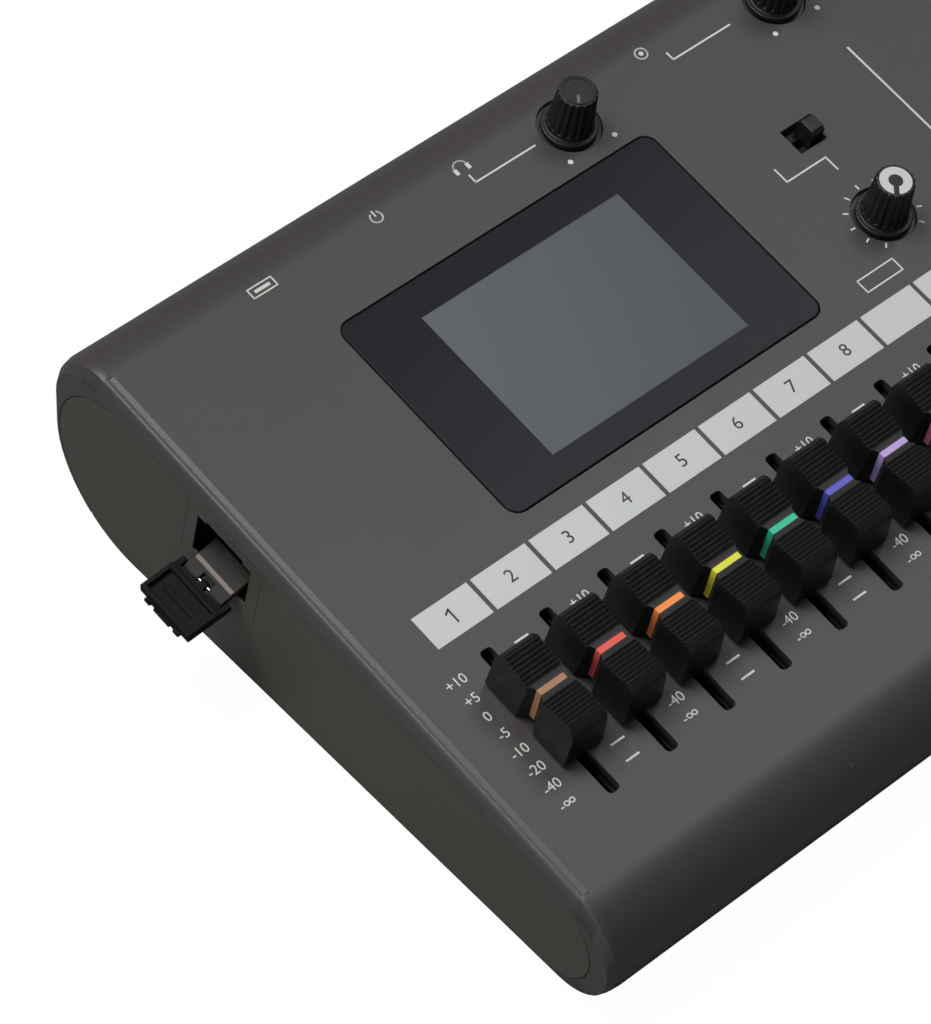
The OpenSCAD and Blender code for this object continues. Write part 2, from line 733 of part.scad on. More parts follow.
module card_cover_pin() {
    color("#d0d2d4") at_pin() along_back(strap_w) cylinder(d = cover_pin_d, h = strap_w);
}
module cover_closed() {
    rim_low = strap_t + 0.5;
    rim_t = 1;
    rim_h = 0.8;
    pocket = 0.6;
    groove_l = cover_l - 6;
    middle = (cover_top + rim_low) / 2;
    difference() {
        union() {
            translate([-pin_inside, -cover_l / 2, -strap_t / 2])
                cube([cover_t, cover_l, cover_top + strap_t / 2]);
            translate([0, -cover_l / 2, rim_low]) cube([pin_inside + rim_h, cover_l, cover_top - rim_low]);
            translate([-pin_inside, -cover_lip_l / 2, cover_top - cut])
                cube([cover_t / 2, cover_lip_l, cut + cover_lip]);
        }
        translate([-cover_t, -strap_w / 2 - run_gap, -strap_t])
            cube([2 * cover_t, strap_w + 2 * run_gap, strap_t * 3 / 2 + run_gap]);
        translate([pin_inside - pocket / 2, -cover_l / 2 + rim_t, rim_low + rim_t])
            cube([rim_h + cut, cover_l - 2 * rim_t, cover_top - rim_low - 2 * rim_t]);
        translate([pin_inside - pocket, -groove_l / 2, middle - 0.6]) cube([pocket, groove_l, 1.2]);
        for (s = [-1, 1]) translate([-cover_t, s * cover_l / 5 - 0.5, cover_top + cover_lip - 0.5])
            cube([cover_t + cut, 1, cut]);
    }
    difference() {
        union() {
            along_back(knuckle_w) cylinder(d = cover_t, h = knuckle_w);
            translate([-pin_inside, -knuckle_w / 2, 0]) cube([cover_t, knuckle_w, strap_t + cut]);
        }
        along_back(knuckle_w + 2 * cut) cylinder(d = cover_pin_d + 2 * turn_gap, h = knuckle_w + 2 * cut);
    }
}
module card_cover() {
    color("#1b1b1c") at_pin() rotate([0, -90 - cover_droop, 0]) cover_closed();
}

// Battery compartment
module battery_door() {
    color("#3c3b39") {
        from_left(tray_u + run_gap, tray_y + door_bead_r + run_gap, foot_h)
            cube([door_w - 2 * run_gap, door_d - door_bead_r - 2 * run_gap, door_t]);
        from_left(tray_u + run_gap, tray_y, foot_h + door_bead_r)
            rotate([0, 90, 0]) cylinder(r = door_bead_r - run_gap / 2, h = door_w - 2 * run_gap);
        from_left(tray_u + run_gap, tray_y, foot_h + door_bead_r - door_t / 4)
            cube([door_w - 2 * run_gap, 2 * door_bead_r, door_t / 2]);
    }
}
module battery_cells() {
    color("#c9a227") for (i = [0:cells - 1])
        from_left(cell_u(i), tray_y + (tray_d - cell_l) / 2, cell_z)
            toward_back() {
                cylinder(d = cell_d, h = cell_l - cell_tip_l);
                cylinder(d = cell_tip_d, h = cell_l);
            }
}
module battery_contacts() {
    gap = (tray_d - cell_l) / 2;
    color("#c8cacc") for (i = [0:cells - 1], s = [0, 1])
        from_left(cell_u(i), tray_y + s * tray_d, cell_z)
            rotate([0, 0, s * 180]) {
                translate([-contact_h / 2, 0, -contact_h / 2]) cube([contact_h, contact_t, contact_h]);
                toward_back() cylinder(d = 4, h = gap - 0.1);
            }
}

// Feet and fastenings
module rubber_feet() {
    color("#1a1a1a") for (p = feet) from_left(p[0], p[1], 0) cylinder(d = foot_d, h = foot_h + foot_recess);
}
module case_screws() {
    color("#a9abad") {
        for (p = pillars) {
            from_left(p[0], p[1], foot_h + 0.2) cylinder(r = screw_head_r, h = screw_head_h - 0.2);
            from_left(p[0], p[1], foot_h + 0.2) cylinder(r = screw_r - turn_gap / 2, h = parting_h + screw_l);
        }
        for (p = posts) {
            on_panel(p[0], p[1], board_top - board_t - 1.2) cylinder(r = 2, h = 1.2);
            on_panel(p[0], p[1], board_top - board_t - 1.2)
                cylinder(r = post_pilot_r - turn_gap / 2, h = 1.2 + board_t + 5);
        }
    }
}

// Rear sockets
module phone_jacks() {
    color("#202021") for (u = phone_jack_u) difference() {
        union() {
            from_left(u, rear_inner - jack_body_l / 2, jack_board_top)
                block([jack_body_w, jack_body_l, jack_body_h]);
            from_left(u, rear_inner - cut, jack_axis_z) toward_back()
                cylinder(d = jack_nose_d, h = rear_t + fit_gap + cut + jack_nose);
        }
        from_left(u, rear_y + jack_nose - jack_bore_l, jack_axis_z) toward_back()
            cylinder(d = jack_bore_d, h = jack_bore_l + cut);
    }
}
module combo_jacks() {
    pins_r = 7.2;
    pin_l = 14;
    color("#202021") for (u = combo_u) difference() {
        union() {
            from_left(u, rear_inner - combo_l / 2, jack_board_top)
                block([combo_d + 1, combo_l, combo_body_h]);
            from_left(u, rear_inner - cut, jack_axis_z) toward_back()
                cylinder(d = combo_d, h = rear_t + fit_gap + cut);
        }
        from_left(u, rear_y - combo_l, jack_axis_z) toward_back()
            cylinder(d = jack_bore_d, h = combo_l + cut);
        for (a = [90, 210, 330])
            from_left(u + pins_r * cos(a), rear_y - pin_l, jack_axis_z + pins_r * sin(a)) toward_back()
                cylinder(d = 3.2, h = pin_l + cut);
    }
}
module usb_socket() {
    shell = 0.4;
    color("#c8cacc") difference() {
        from_left(usb_u - usb_w / 2, rear_y - usb_l, usb_z - usb_h / 2) cube([usb_w, usb_l, usb_h]);
        from_left(usb_u - usb_w / 2 + shell, rear_y - usb_l + 1, usb_z - usb_h / 2 + shell)
            cube([usb_w - 2 * shell, usb_l, usb_h - 2 * shell]);
    }
    color("#202021") from_left(usb_u - usb_w / 3, rear_y - usb_l + cut / 2, usb_z - shell)
        cube([usb_w * 2 / 3, usb_l - 1.4, 2 * shell]);
}

// Controls
flutes = 18;
knob_taper = atan((knob_d - knob_top_d) / 2 / (knob_h - 0.5));
module knob(p) {
    color("#161617") on_panel(p[0], p[1], 0) difference() {
        union() {
            translate([0, 0, board_top + 1.8]) cylinder(d = knob_stem_d, h = -board_top);
            translate([0, 0, -well_depth + 0.25]) cylinder(d = knob_skirt_d, h = well_depth + 0.35);
            translate([0, 0, 0.5]) cylinder(d1 = knob_d, d2 = knob_top_d, h = knob_h - 0.5);
        }
        for (i = [0:flutes - 1]) rotate([0, 0, i * 360 / flutes]) translate([knob_d / 2 + 0.2, 0, 1.6])
            rotate([0, -knob_taper, 0]) cylinder(r = 0.5, h = knob_h + cut, $fn = 16);
    }
}
module slide_tip() {
    difference() {
        union() {
            translate([0, 0, -wall + 0.2]) block([switch_tip_l, switch_tip_w, wall - 0.2 + switch_tip_h]);
            translate([0, 0, -wall - fit_gap - tongue_reach])
                block([switch_tip_l, tongue_t, tongue_reach + fit_gap + 0.4]);
        }
        for (s = [-1, 1]) translate([0, s * switch_tip_w / 2, switch_tip_h]) rotate([45, 0, 0])
            cube([switch_tip_l + cut, 1, 1], center = true);
    }
}
module panel_switch(p, side) {
    color("#161617") on_panel(p[0] + side * switch_travel / 2, p[1], 0) slide_tip();
}
module power_switch() {
    color("#161617") from_left(power_u - switch_travel / 2, rear_y, power_z) toward_back() slide_tip();
}
module key(p) {
    plunger_top = board_top + tact_h + plunger_h;
    color("#232324") on_panel(p[0], p[1], 0) {
        translate([0, 0, -wall - 0.4]) round_block([key_w, key_d, wall + 0.4 + key_h], key_r);
        translate([0, 0, -wall - 0.1 - key_flange])
            block([key_w + 2 * key_flange, key_d + 2 * key_flange, key_flange]);
        translate([0, 0, plunger_top + key_travel + 0.1])
            cylinder(d = 4, h = -wall - 0.2 - plunger_top - key_travel);
    }
}

// A cap's side view: flared ends with a steep facet, ribbed halves and a saddle with a flat for the line
function rib_line(side) = let (
        span = [cap_line_w / 2 + cap_strip, cap_top_l / 2 - cap_crest],
        fall = cap_saddle / (cap_top_l / 2)
    ) [for (i = [0:2 * ribs]) let (
        x = span[1] + (span[0] - span[1]) * i / (2 * ribs),
        z = cap_h - fall * (cap_top_l / 2 - x)
    ) [side * x, z - (i % 2 == 0 ? 0 : rib_depth)]];
function cap_end(side) = [
    [side * cap_l / 2, cap_base],
    [side * (cap_top_l / 2 + cap_facet_out), cap_h - cap_facet],
    [side * cap_top_l / 2, cap_h]
];
module cap_side() {
    front_ribs = rib_line(-1);
    front_end = cap_end(-1);
    polygon(concat(
        cap_end(1),
        rib_line(1),
        [[cap_line_w / 2, cap_h - cap_saddle], [-cap_line_w / 2, cap_h - cap_saddle]],
        [for (i = [2 * ribs:-1:0]) front_ribs[i]],
        [for (i = [2:-1:0]) front_end[i]]
    ));
}
module cap_front() {
    polygon([
        [-cap_w / 2, cap_base], [cap_w / 2, cap_base], [cap_top_w / 2, cap_h], [cap_top_w / 2, cap_h + cut],
        [-cap_top_w / 2, cap_h + cut], [-cap_top_w / 2, cap_h]
    ]);
}
// The notch is deepest at the line and runs out down the flank
function flank_at(z) = cap_w / 2 - (cap_w - cap_top_w) / 2 * (z - cap_base) / (cap_h - cap_base);
module cap_side_notch() {
    top = cap_h - cap_saddle;
    lean = atan((flank_at(cap_notch_h) - flank_at(top) + cap_notch) / (top - cap_notch_h));
    wide = cap_line_w / 2 + (cap_notch_l - cap_line_w / 2) * (cap_notch + cut) / cap_notch;
    translate([flank_at(cap_notch_h), 0, cap_notch_h]) rotate([0, -lean, 0]) linear_extrude(cap_h)
        polygon([
            [0, -cap_line_w / 2], [cap_notch + cut, -wide], [cap_notch + cut, wide], [0, cap_line_w / 2]
        ]);
}
module fader_cap(i) {
    color("#1c1c1d") on_panel(fader_u + (i - 1) * fader_pitch, fader_home, 0) difference() {
        intersection() {
            translate([-cap_w / 2, 0, 0]) rotate([90, 0, 90]) linear_extrude(cap_w) cap_side();
            translate([0, cap_l / 2, 0]) rotate([90, 0, 0]) linear_extrude(cap_l) cap_front();
        }
        for (turn = [0, 180]) rotate([0, 0, turn]) cap_side_notch();
        translate([0, 0, cap_base - cut])
            block([lever_t + fit_gap, lever_l + fit_gap, cap_h - cap_saddle - 2 - cap_base + cut]);
    }
}
module fader_lever(i) {
    color("#b9bcbe") on_panel(fader_u + (i - 1) * fader_pitch, fader_home, board_top + 2 + run_gap)
        block([lever_t, lever_l, cap_h - cap_saddle - 2.2 - board_top - 2 - run_gap]);
}

top_cover();
bottom_cover();
left_side_panel();
right_side_panel();
rear_panel();
screen_glass();
lcd_module();
main_board();
jack_board();
fader_bodies();
pot_bodies();
switch_bodies();
tact_switches();
card_reader();
card_housing();
card_strap();
card_cover_pin();
card_cover();
battery_door();
battery_cells();
battery_contacts();
rubber_feet();
case_screws();
phone_jacks();
combo_jacks();
usb_socket();
knob(knob_places[0]);  // phones_knob
knob(knob_places[1]);  // output_knob
knob(knob_places[2]);  // balance_knob
knob(knob_places[3]);  // gain_a_knob
knob(knob_places[4]);  // gain_b_knob
key(key_places[0]);  // rewind_key
key(key_places[1]);  // forward_key
key(key_places[2]);  // stop_key
key(key_places[3]);  // play_key
key(key_places[4]);  // record_key
panel_switch(switch_places[0], 1);  // click_switch
panel_switch(switch_places[1], -1);  // phantom_switch
panel_switch(switch_places[2], -1);  // guitar_switch
power_switch();
for (i = [1:faders]) {
    fader_cap(i);
    fader_lever(i);
}
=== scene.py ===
"""Looks of a desktop multitrack recorder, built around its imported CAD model."""
import logging
import math
from dataclasses import dataclass, field
from enum import Enum
from typing import Callable, Iterable, Optional, Sequence

import bpy
from mathutils import Matrix, Vector


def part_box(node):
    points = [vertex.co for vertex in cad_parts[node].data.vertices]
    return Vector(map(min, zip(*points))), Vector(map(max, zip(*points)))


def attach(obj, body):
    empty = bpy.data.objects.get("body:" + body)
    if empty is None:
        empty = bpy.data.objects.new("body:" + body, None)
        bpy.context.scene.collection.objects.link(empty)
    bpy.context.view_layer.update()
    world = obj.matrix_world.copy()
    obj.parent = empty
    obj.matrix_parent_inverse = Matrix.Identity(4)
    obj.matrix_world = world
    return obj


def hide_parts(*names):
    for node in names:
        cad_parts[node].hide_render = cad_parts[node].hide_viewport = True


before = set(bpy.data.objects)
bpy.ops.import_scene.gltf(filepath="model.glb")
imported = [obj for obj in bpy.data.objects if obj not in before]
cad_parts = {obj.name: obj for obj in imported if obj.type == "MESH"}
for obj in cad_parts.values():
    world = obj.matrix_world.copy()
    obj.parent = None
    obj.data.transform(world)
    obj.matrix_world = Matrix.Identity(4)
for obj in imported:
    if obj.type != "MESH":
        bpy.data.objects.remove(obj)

LOG = logging.getLogger("recorder")
MM = 0.001
NEAR = 0.01 * MM  # lengths closer than this count as the same
WELD = 0.002 * MM  # corners closer than this are merged
FLAT = 0.6  # degrees between faces that are merged
OVER = 1.0  # millimetres by which a cutting tool stands out
ROUGH_SPREAD = 0.06  # how far the grain shifts the roughness
BUMP_SHARE = 0.35  # strength of a bump at a grain depth of 1
WHITE = (1.0, 1.0, 1.0, 1.0)
ORIGIN = (0.0, 0.0, 0.0)
CASE = "case"
Material, Node, NodeTree, Piece = bpy.types.Material, bpy.types.Node, bpy.types.NodeTree, bpy.types.Object
Point = tuple[float, float]
Triple = tuple[float, float, float]
Values = dict[str | int, float | Sequence[float]]


class Grain(Enum):
    """Texture of a moulded surface: cell size in cells per metre and bump depth in metres."""

    POLISHED = (3000.0, 0.0)
    SATIN = (5200.0, 0.000006)
    ERODED = (3600.0, 0.000014)


@dataclass(frozen=True)
class Colour:
    """A colour as a screen shows it, 0 to 255."""

    red: float
    green: float
    blue: float

    def linear(self) -> tuple[float, float, float, float]:
        """The colour in linear light, with full alpha."""
        return tuple(self._one(c / 255.0) for c in (self.red, self.green, self.blue)) + (1.0,)

    def scaled(self, factor: float) -> "Colour":
        """A darker or lighter colour of the same hue."""
        return Colour(*(min(255.0, c * factor) for c in (self.red, self.green, self.blue)))

    @staticmethod
    def _one(c: float) -> float:
        """One channel from display to linear."""
        return c / 12.92 if c <= 0.04045 else ((c + 0.055) / 1.055) ** 2.4


class Tree:
    """A shader node tree, with short ways to add, fill and join its nodes."""

    def __init__(self, tree: NodeTree) -> None:
        """Keeps the tree."""
        self.tree = tree

    @classmethod
    def blank(cls, name: str) -> tuple[Material, "Tree", Node]:
        """Makes a material.

        Args:
            name: its name.

        Returns:
            The material, its tree and its shader.
        """
        mat = bpy.data.materials.new(name)
        mat.use_nodes = True
        return mat, cls(mat.node_tree), mat.node_tree.nodes["Principled BSDF"]

    @staticmethod
    def fill(node: Node, values: Values) -> Node:
        """Sets inputs of a node, each by its name or number.

        Args:
            node: the node.
            values: the inputs' values.

        Returns:
            The node.
        """
        for key, value in values.items():
            node.inputs[key].default_value = value
        return node

    def add(self, kind: str, values: Optional[Values] = None, **settings: object) -> Node:
        """Adds a node.

        Args:
            kind: its type, after ShaderNode.
            values: its inputs, each by its name or number.
            settings: its settings, such as a math node's operation.

        Returns:
            The node.
        """
        node = self.tree.nodes.new("ShaderNode" + kind)
        for key, setting in settings.items():
            setattr(node, key, setting)
        return self.fill(node, values or {})

    def join(self, source: Node, out: str, target: Node, into: str | int) -> None:
        """Joins an output of one node to an input of another."""
        self.tree.links.new(source.outputs[out], target.inputs[into])


class NodeGroups:
    """Shader node groups that several finishes share."""

    def __init__(self) -> None:
        """Builds each group once."""
        self.grain = self._moulded_grain()
        self.tone = self._tone_drift()

    @staticmethod
    def _new(name: str, inputs: Values, outputs: Sequence[str]) -> tuple[Tree, Node, Node]:
        """Makes an empty group with its sockets.

        Args:
            name: the group's name.
            inputs: name and default of each value input.
            outputs: name of each value output.

        Returns:
            The group's tree, its input node and its output node.
        """
        tree = bpy.data.node_groups.new(name, "ShaderNodeTree")
        for label, value in inputs.items():
            socket = tree.interface.new_socket(name=label, in_out="INPUT", socket_type="NodeSocketFloat")
            socket.default_value = value
        for label in outputs:
            tree.interface.new_socket(name=label, in_out="OUTPUT", socket_type="NodeSocketFloat")
        return Tree(tree), tree.nodes.new("NodeGroupInput"), tree.nodes.new("NodeGroupOutput")

    def _moulded_grain(self) -> NodeTree:
        """Fine spark-eroded grain: Height for a bump, Fleck for roughness.

        Returns:
            The group.
        """
        t, given, result = self._new("moulded_grain", {"Scale": 4000.0, "Sharpness": 0.6}, ["Height", "Fleck"])
        where = t.add("TexCoord")
        fine = t.add("TexNoise", {"Detail": 2.0})
        coarse = t.add("TexVoronoi", {"Smoothness": 0.6}, feature="SMOOTH_F1")
        mix = t.add("Math", {1: 0.5}, operation="MULTIPLY_ADD")
        for noise in (fine, coarse):
            t.join(where, "Object", noise, "Vector")
            t.join(given, "Scale", noise, "Scale")
        t.join(given, "Sharpness", fine, "Roughness")
        t.join(coarse, "Distance", mix, 0)
        t.join(fine, "Fac", mix, 2)
        t.join(mix, "Value", result, "Height")
        t.join(fine, "Fac", result, "Fleck")
        return t.tree

    def _tone_drift(self) -> NodeTree:
        """Slow change of tone over a moulding: Drift runs from 0 to 1.

        Returns:
            The group.
        """
        t, given, result = self._new("tone_drift", {"Scale": 24.0, "Contrast": 1.6}, ["Drift"])
        where = t.add("TexCoord")
        cloud = t.add("TexNoise", {"Detail": 4.0})
        centre = t.add("Math", {1: 0.5}, operation="SUBTRACT")
        spread = t.add("Math", {2: 0.5}, operation="MULTIPLY_ADD", use_clamp=True)
        t.join(where, "Object", cloud, "Vector")
        t.join(given, "Scale", cloud, "Scale")
        t.join(cloud, "Fac", centre, 0)
        t.join(centre, "Value", spread, 0)
        t.join(given, "Contrast", spread, 1)
        t.join(spread, "Value", result, "Drift")
        return t.tree


@dataclass(frozen=True)
class Finish:
    """A surface: colour, gloss, grain and slow tone change."""

    name: str
    colour: Colour
    roughness: float = 0.5
    metallic: float = 0.0
    grain: Grain = Grain.SATIN
    grain_depth: float = 1.0
    drift: float = 0.06
    specular: float = 0.5

    def material(self, groups: NodeGroups) -> Material:
        """Makes the material, or finds it if another piece has it.

        Args:
            groups: the shared node groups.

        Returns:
            The material.
        """
        label = "finish_" + self.name
        found = bpy.data.materials.get(label)
        if found:
            return found
        mat, t, shader = Tree.blank(label)
        t.fill(shader, {"Metallic": self.metallic, "Specular IOR Level": self.specular})
        cells, depth = self.grain.value
        tone = t.add("Group", node_tree=groups.tone)
        grain = t.add("Group", {"Scale": cells}, node_tree=groups.grain)
        blend = t.add("Mix", {"A": self.colour.scaled(1.0 - self.drift).linear(),
                              "B": self.colour.scaled(1.0 + self.drift).linear()}, data_type="RGBA")
        rough = t.add("MapRange", {"To Min": max(0.02, self.roughness - ROUGH_SPREAD),
                                   "To Max": min(1.0, self.roughness + ROUGH_SPREAD)})
        t.join(tone, "Drift", blend, "Factor")
        t.join(blend, "Result", shader, "Base Color")
        t.join(grain, "Fleck", rough, "Value")
        t.join(rough, "Result", shader, "Roughness")
        if depth > 0.0:
            bump = t.add("Bump", {"Strength": min(1.0, BUMP_SHARE * self.grain_depth), "Distance": depth})
            t.join(grain, "Height", bump, "Height")
            t.join(bump, "Normal", shader, "Normal")
        return mat


@dataclass(frozen=True)
class DisplayPaintedFalloff:
    """The unlit display: a cool grey with a painted light falloff, lighter at its back-left corner and darker
    at its front-right corner.
    """

    name: str
    painted_lit_end: Colour
    painted_shaded_end: Colour
    start: Vector
    end: Vector
    roughness: float = 0.18
    specular: float = 0.06

    def material(self, groups: NodeGroups) -> Material:
        """Makes the display material.

        Args:
            groups: the shared node groups; not used.

        Returns:
            The material.
        """
        mat, t, shader = Tree.blank(self.name)
        t.fill(shader, {"Roughness": self.roughness, "Specular IOR Level": self.specular})
        run = self.end - self.start
        where = t.add("TexCoord")
        shift = t.add("VectorMath", {1: self.start}, operation="SUBTRACT")
        along = t.add("VectorMath", {1: run / run.length_squared}, operation="DOT_PRODUCT")
        # painted light falloff: the base colour runs from the painted lit grey to the painted shaded grey
        blend = t.add("Mix", {"A": self.painted_lit_end.linear(), "B": self.painted_shaded_end.linear()}, data_type="RGBA")
        t.join(where, "Object", shift, 0)
        t.join(shift, "Vector", along, 0)
        t.join(along, "Value", blend, "Factor")
        t.join(blend, "Result", shader, "Base Color")
        return mat


CASE_GREY = Finish("case_grey", Colour(61, 58, 57), 0.42, grain=Grain.ERODED, drift=0.035)
SIDE_GREY = Finish("side_grey", Colour(72, 70, 66), 0.5, grain=Grain.ERODED, drift=0.035, specular=0.35)
BASE_DARK = Finish("base_dark", Colour(58, 56, 54), 0.58, grain=Grain.ERODED, drift=0.05, specular=0.35)
REAR_DARK = Finish("rear_dark", Colour(44, 44, 44), 0.55, grain=Grain.ERODED, drift=0.05)
CAP_BLACK = Finish("cap_black", Colour(16, 16, 17), 0.42, drift=0.08, specular=0.55)
POINTER_GREY = Finish("pointer_grey", Colour(104, 104, 102), 0.5, drift=0.02, specular=0.3)
LENS_SMOKE = Finish("lens_smoke", Colour(74, 73, 70), 0.3, drift=0.02, specular=0.3)
CONTROL_BLACK = Finish("control_black", Colour(21, 21, 22), 0.42, drift=0.08, specular=0.4)
COVER_BLACK = Finish("cover_black", Colour(15, 15, 16), 0.68, drift=0.08, specular=0.16)
STRAP_GREY = Finish("strap_grey", Colour(47, 46, 44), 0.66, grain=Grain.ERODED, drift=0.06, specular=0.25)
STRAP_BAND = Finish("strap_band", Colour(106, 92, 88), 0.5, drift=0.08)
# near-black films laid in the card bay as painted shade of the recess
BAY_PAINTED_SHADE = Finish("bay_painted_shade", Colour(10, 10, 10), 0.8, drift=0.05, specular=0.1)
KEY_GREY = Finish("key_grey", Colour(48, 48, 49), 0.5, grain=Grain.ERODED, drift=0.06)
GLASS_BLACK = Finish("glass_black", Colour(37, 37, 42), 0.16, grain=Grain.POLISHED, drift=0.04, specular=0.06)
RUBBER = Finish("rubber", Colour(26, 26, 26), 0.85, grain=Grain.ERODED, grain_depth=2.0, drift=0.12)
STEEL = Finish("steel", Colour(176, 177, 178), 0.3, metallic=1.0, drift=0.06)
NICKEL = Finish("nickel", Colour(200, 200, 198), 0.18, metallic=1.0, grain=Grain.POLISHED, drift=0.05)
BOARD = Finish("board_green", Colour(24, 78, 44), 0.45, drift=0.15)
CELL_WRAP = Finish("cell_wrap", Colour(190, 150, 50), 0.35, grain=Grain.POLISHED, drift=0.06)
PRINT_WHITE = Finish("print_white", Colour(206, 206, 203), 0.55, drift=0.05)
TILE_GREY = Finish("tile_grey", Colour(193, 195, 196), 0.5, drift=0.03)
TILE_INK = Finish("tile_ink", Colour(46, 46, 47), 0.5, drift=0.05)
RING_GREY = Finish("ring_grey", Colour(196, 197, 196), 0.5, drift=0.04)
RECORD_RED = Finish("record_red", Colour(178, 42, 40), 0.45, drift=0.06)
# painted light falloff across the unlit display: lit grey at its back-left corner, shaded grey at its
# front-right corner
DISPLAY_PAINTED_LIT = Colour(95, 101, 104)
DISPLAY_PAINTED_SHADED = Colour(80, 84, 89)
LINE_COLOURS = (
    Colour(160, 118, 86), Colour(222, 82, 76), Colour(238, 140, 62), Colour(222, 218, 60),
    Colour(44, 186, 150), Colour(86, 84, 190), Colour(186, 160, 222), Colour(226, 134, 176),
    Colour(206, 206, 204), Colour(206, 206, 204),
)


@dataclass
class Panel:
    """The sloped control panel: u from the left side, v to the back, w out of the panel, in millimetres."""

    tilt: float = math.radians(8.2)
    screen_y: float = 3.7
    case_h: float = 34.9
    foot_h: float = 1.0
    left_x: float = field(init=False)
    height: float = field(init=False)

    def __post_init__(self) -> None:
        """Takes the left side from the CAD and works out the panel's height."""
        self.left_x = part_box("left_side_panel")[0].x / MM
        self.height = self.foot_h + self.case_h + self.screen_y * math.tan(self.tilt)

    def at(self, u: float, v: float, w: float = 0.0, turn: float = 0.0) -> Matrix:
        """A place on the panel.

        Args:
            u: distance from the left side.
            v: distance to the back from the picture's front edge.
            w: height above the panel.
            turn: anticlockwise turn about the panel's normal, in degrees.

        Returns:
            The matrix from the place's own millimetre frame to the row frame in metres.
        """
        return (Matrix.Translation((self.left_x * MM, self.screen_y * MM, self.height * MM))
                @ Matrix.Rotation(self.tilt, 4, "X")
                @ Matrix.Translation((u * MM, v * MM, w * MM))
                @ Matrix.Rotation(math.radians(turn), 4, "Z") @ Matrix.Scale(MM, 4))

    def rear(self, u: float, y: float, z: float) -> Matrix:
        """A place on the upright jack panel, its own Z pointing to the back."""
        return (Matrix.Translation(((self.left_x + u) * MM, y * MM, z * MM))
                @ Matrix.Rotation(-math.pi / 2, 4, "X") @ Matrix.Scale(MM, 4))

    def point(self, u: float, v: float, w: float = 0.0) -> Vector:
        """A place on the panel as a point in metres."""
        return self.at(u, v, w) @ Vector(ORIGIN)


